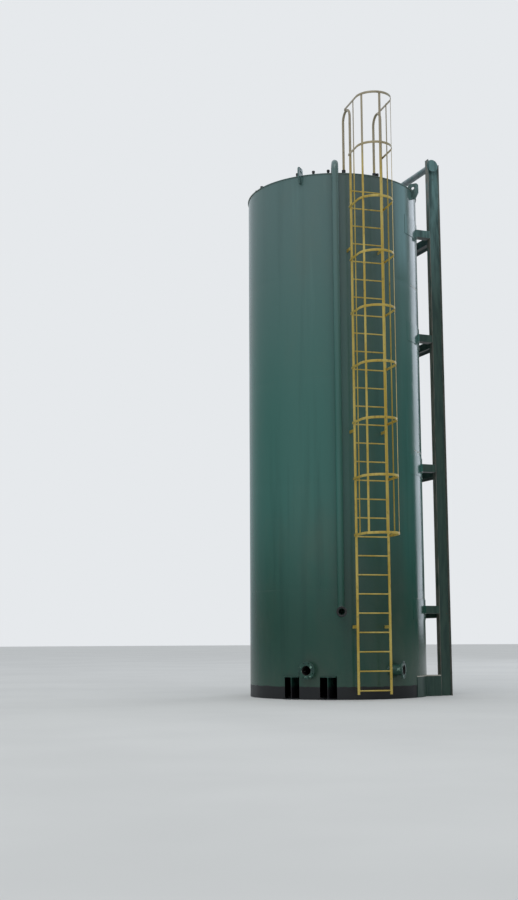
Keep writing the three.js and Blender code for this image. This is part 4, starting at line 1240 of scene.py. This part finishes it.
class TANK_OT_fill_pipe(Operator):
    """Builds the fill pipe over the rim and the inlet at its foot"""

    bl_idname = "tank.fill_pipe"
    bl_label = "Fill pipe"

    def execute(self, context):
        sizes = context.scene.tank_piping
        turned = facing(sizes.azimuth)
        self.riser(sizes, turned)
        self.inlet(sizes, turned)
        return {"FINISHED"}

    def riser(self, sizes, turned):
        """The pipe up the shell and over the rim, with its welds and standoffs."""
        roof = RIM + bpy.context.scene.tank_roof.thickness
        radius = sizes.radius
        start = (0, -sizes.distance, sizes.join)
        skin = face_out(over_the_rim(radius, 36, start, sizes.bend_start - sizes.join, sizes.bend, roof))
        piece = make_piece("fill_riser", placed(skin, turned), gloss_enamel(), "tank_green", "fill_pipe")
        give_wall(piece, sizes.wall)
        leg = 0.007
        foot = [(radius - SUNK, 0), (radius + leg, 0), (radius + 0.4 * leg, 0.4 * leg), (radius - SUNK, leg)]
        foot_place = turned @ Matrix.Translation((0, -(sizes.distance - 2 * sizes.bend), roof))
        trim = placed(lathe(foot, 36, closed=True), foot_place)
        bead = [(radius - SUNK, -0.006), (radius + 0.001, -0.002), (radius + 0.001, 0.002),
                (radius - SUNK, 0.006)]
        joints = [turned @ Matrix.Translation((0, -sizes.distance, height))
                  for height in (sizes.join, sizes.bend_start)]
        stamp(trim, lathe(bead, 36, closed=True), joints)
        self.standoffs(sizes, trim, turned)
        make_piece("fill_pipe_trim", trim, gloss_enamel(), "tank_green", "fill_pipe")

    def standoffs(self, sizes, trim, turned):
        """Blocks that hold the pipe off the shell."""
        half_width, half_height = 0.02, 0.03
        shell = bpy.context.scene.tank_shell.radius
        for i in range(3):
            height = sizes.standoff_first + i * sizes.standoff_step
            low = (-half_width, -(sizes.distance - sizes.radius + sizes.wall / 2), height - half_height)
            high = (half_width, -(shell - 0.005), height + half_height)
            stamp(trim, block(low, high), [turned])

    def inlet(self, sizes, turned):
        """An elbow that turns outwards to a collar that a hose is coupled to."""
        mouth = (0, -(sizes.distance + sizes.inlet_reach), sizes.inlet_height)
        mouth_place = Matrix.Translation(mouth) @ Matrix.Rotation(pi / 2, 4, "X")
        shape = bmesh.new()
        edges = ring(shape, sizes.radius, 36, mouth_place)
        edges = drag(shape, edges, (0, sizes.inlet_reach - sizes.inlet_bend, 0))
        centre = (0, -(sizes.distance + sizes.inlet_bend), sizes.inlet_height + sizes.inlet_bend)
        edges = turn(shape, edges, centre, (1, 0, 0), pi / 2, 10)
        drag(shape, edges, (0, 0, sizes.join - sizes.inlet_height - sizes.inlet_bend))
        piece = make_piece("inlet_elbow", placed(face_out(shape), turned), gloss_enamel(), "tank_green",
                           "fill_inlet")
        give_wall(piece, sizes.wall)
        radius, depth, edge = sizes.collar_radius, sizes.collar_length, 0.003
        bore = sizes.radius - sizes.wall
        outline = [(bore, 0), (bore + 0.010, 0.002), (radius - edge, 0.002), (radius, -edge),
                   (radius, -depth * 0.4), (radius - 0.005, -depth * 0.46), (radius - 0.005, -depth * 0.6),
                   (radius, -depth * 0.66), (radius, -depth + edge), (radius - edge, -depth), (bore, -depth)]
        collar = placed(lathe(outline, 48, closed=True), turned @ mouth_place)
        make_piece("inlet_collar", collar, black_primer(), "tank_green", "fill_inlet")


class TANK_OT_nozzles(Operator):
    """Builds the two flanged nozzles with their bolt holes and open bores"""

    bl_idname = "tank.nozzles"
    bl_label = "Nozzles"

    def execute(self, context):
        sizes = context.scene.tank_piping
        for word, place in zip(("front", "side"), nozzle_places()):
            node = f"nozzle_{word}"
            low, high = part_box(node)
            depth = high.y - low.y if word == "front" else high.x - low.x
            flange = make_piece(f"{word}_flange", placed(self.flange(sizes, depth), place), chipped_enamel(),
                                "tank_green", node)
            cut(flange, self.bolt_holes(sizes, place))
            bore, half = sizes.nozzle_radius - sizes.nozzle_wall, 0.001
            outline = [(bore - half, -0.001), (bore + half, -0.001), (bore + half, -depth),
                       (bore - half, -depth)]
            make_piece(f"{word}_bore", placed(lathe(outline, 48, closed=True), place), rusty_bore(),
                       "tank_green", node)
        return {"FINISHED"}

    def flange(self, sizes, depth):
        """A welding neck flange on its length of pipe, with its face at height nought."""
        bore, step, edge = sizes.nozzle_radius - sizes.nozzle_wall + 0.0005, 0.0016, 0.002
        radius, back = sizes.flange_radius, -sizes.flange_thickness
        outline = [
            (bore, 0), (sizes.raised_face, 0), (sizes.raised_face, -step), (radius - edge, -step),
            (radius, -step - edge), (radius, back + edge), (radius - edge, back), (sizes.hub_radius, back),
            (sizes.nozzle_radius, -sizes.hub_length), (sizes.nozzle_radius, -depth), (bore, -depth),
        ]
        return lathe(outline, 64, closed=True)

    def bolt_holes(self, sizes, place):
        """Pins that cut the bolt holes, half a step off the middle line as is usual."""
        pin = rod(sizes.bolt_hole, -0.06, 0.02, 20)
        step = 2 * pi / sizes.bolt_holes
        out = Matrix.Translation((sizes.bolt_circle, 0, 0))
        turns = [Matrix.Rotation((i + 0.5) * step, 4, "Z") for i in range(sizes.bolt_holes)]
        return placed(pin, *[place @ turned @ out for turned in turns])


# Stage

class TANK_OT_stage(Operator):
    """Builds the floor, the studio light and the camera"""

    bl_idname = "tank.stage"
    bl_label = "Stage"

    # Dark cards on the right, on the left and behind: azimuth in degrees, the cosines where the dark
    # starts and is full, and the rise where it starts to fade and is gone
    dark_cards = (
        (112.0, 0.15, 0.85, 0.05, 0.55),
        (-85.0, 0.60, 1.25, 0.05, 0.50),
        (183.0, 0.93, 0.96, 0.26, 0.32),
    )

    def execute(self, context):
        sizes = context.scene.tank_stage
        self.floor(sizes)
        self.world(context)
        self.lamps(context)
        self.camera(context, sizes)
        context.scene.view_settings.view_transform = "Standard"
        return {"FINISHED"}

    def floor(self, sizes):
        """A round floor that reaches out of sight."""
        shape = bmesh.new()
        bmesh.ops.create_circle(shape, cap_ends=True, segments=96, radius=sizes.floor_radius)
        mesh = bpy.data.meshes.new("floor")
        shape.to_mesh(mesh)
        shape.free()
        mesh.materials.append(studio_floor())
        floor = bpy.data.objects.new("floor", mesh)
        bpy.context.scene.collection.objects.link(floor)

    def world(self, context):
        """A pale backdrop, and a soft light that is strong overhead and dim low at the sides and behind."""
        colours = context.scene.tank_finishes
        world = bpy.data.worlds.new("studio")
        context.scene.world = world
        world.use_nodes = True
        tree = world.node_tree
        tree.nodes.clear()
        direction = add_node(tree, "TexCoord", output="Generated")
        rise = add_node(tree, "SeparateXYZ", {0: direction}, output="Z")
        overhead = add_node(tree, "MapRange", {"Value": rise, "From Min": -0.05, "From Max": 0.75}, **SOFT)
        glow = layered(tree, colours.sky_low, (overhead, colours.sky_high))
        for azimuth, outside, inside, rise_start, rise_end in self.dark_cards:
            middle = facing(radians(azimuth), 1.0).translation
            nearness = add_node(tree, "VectorMath", {0: direction, 1: middle}, output="Value",
                                operation="DOT_PRODUCT")
            near = add_node(tree, "MapRange", {"Value": nearness, "From Min": outside,
                                               "From Max": inside}, **SOFT)
            low = add_node(tree, "MapRange", {"Value": rise, "From Min": rise_start, "From Max": rise_end,
                                              "To Min": 1.0, "To Max": 0.0}, **SOFT)
            glow = layered(tree, glow, (overlap(tree, near, low), colours.sky_dim))
        light = add_node(tree, "Background", {"Color": glow, "Strength": 0.95})
        backdrop = add_node(tree, "Background", {"Color": colours.backdrop, "Strength": 1.0})
        seen = add_node(tree, "LightPath", output="Is Camera Ray")
        mixed = add_node(tree, "MixShader", {0: seen, 1: light, 2: backdrop})
        add_node(tree, "OutputWorld", {"Surface": mixed})

    def lamps(self, context):
        """A tall strip behind the tank on the right, a soft lamp overhead, and a sky card for the gloss."""
        colours = context.scene.tank_finishes
        self.lamp(context, "strip_behind", colours.strip, azimuth=156.5, distance=34.0, height=12.5,
                  width=12.5, tall=23.0, radiance=1.8)
        self.lamp(context, "overhead_front", colours.overhead, azimuth=4.0, distance=16.0, height=24.0,
                  width=14.0, tall=14.0, radiance=1.6)
        card = self.lamp(context, "sky_card", colours.sky_card, azimuth=123.0, distance=30.0, height=21.5,
                         width=14.0, tall=11.0, radiance=1.0)
        card.visible_diffuse = False

    def lamp(self, context, name, tint, azimuth, distance, height, width, tall, radiance):
        """A rectangular lamp aimed at the middle of the tank, which the camera doesn't see."""
        light = bpy.data.lights.new(name, "AREA")
        light.shape = "RECTANGLE"
        light.size = width
        light.size_y = tall
        light.energy = radiance * pi * width * tall
        light.color = tint[:3]
        lamp = bpy.data.objects.new(name, light)
        lamp.visible_camera = False
        lamp.location = facing(radians(azimuth), distance, height).translation
        aim = Vector((0.0, 0.0, RIM / 2)) - lamp.location
        lamp.rotation_euler = aim.to_track_quat("-Z", "Y").to_euler()
        context.scene.collection.objects.link(lamp)
        return lamp

    def camera(self, context, sizes):
        """A camera at the photograph's viewing angle."""
        lens = bpy.data.cameras.new("camera")
        lens.lens = sizes.camera_lens
        lens.sensor_width = 36.0
        lens.clip_end = 500.0
        camera = bpy.data.objects.new("camera", lens)
        camera.matrix_world = (Matrix.Translation(sizes.camera_place)
                               @ Matrix.Rotation(sizes.camera_turn, 4, "Z")
                               @ Matrix.Rotation(pi / 2 + sizes.camera_pitch, 4, "X")
                               @ Matrix.Rotation(sizes.camera_roll, 4, "Z"))
        context.scene.collection.objects.link(camera)
        context.scene.camera = camera


# Add-on

OPERATORS = (
    TANK_OT_shell, TANK_OT_roof, TANK_OT_hatch, TANK_OT_lugs, TANK_OT_base, TANK_OT_skid, TANK_OT_ladder,
    TANK_OT_cage, TANK_OT_fill_pipe, TANK_OT_nozzles, TANK_OT_stage,
)

GROUPS = {
    "tank_shell": TankShellSizes,
    "tank_roof": TankRoofSizes,
    "tank_steelwork": TankSteelworkSizes,
    "tank_ladder": TankLadderSizes,
    "tank_piping": TankPipingSizes,
    "tank_stage": TankStageSizes,
    "tank_finishes": TankFinishes,
}


class TANK_PT_pieces(Panel):
    """Lists the tank's pieces"""

    bl_label = "Storage tank"
    bl_idname = "TANK_PT_pieces"
    bl_space_type = "VIEW_3D"
    bl_region_type = "UI"
    bl_category = "Tank"

    def draw(self, context):
        for operator in OPERATORS:
            self.layout.operator(operator.bl_idname)
        for name, group in GROUPS.items():
            box = self.layout.box()
            box.label(text=group.__doc__)
            for field in group.__annotations__:
                box.prop(getattr(context.scene, name), field)


def register():
    for group in GROUPS.values():
        bpy.utils.register_class(group)
    for name, group in GROUPS.items():
        setattr(bpy.types.Scene, name, PointerProperty(type=group))
    for operator in OPERATORS:
        bpy.utils.register_class(operator)
    bpy.utils.register_class(TANK_PT_pieces)


def unregister():
    bpy.utils.unregister_class(TANK_PT_pieces)
    for operator in reversed(OPERATORS):
        bpy.utils.unregister_class(operator)
    for name in GROUPS:
        delattr(bpy.types.Scene, name)
    for group in GROUPS.values():
        bpy.utils.unregister_class(group)


def main():
    register()
    bpy.ops.tank.stage()
    bpy.ops.tank.shell()
    bpy.ops.tank.roof()
    bpy.ops.tank.hatch()
    bpy.ops.tank.lugs()
    bpy.ops.tank.base()
    bpy.ops.tank.skid()
    bpy.ops.tank.ladder()
    bpy.ops.tank.cage()
    bpy.ops.tank.fill_pipe()
    bpy.ops.tank.nozzles()


if __name__ == "__main__":
    main()
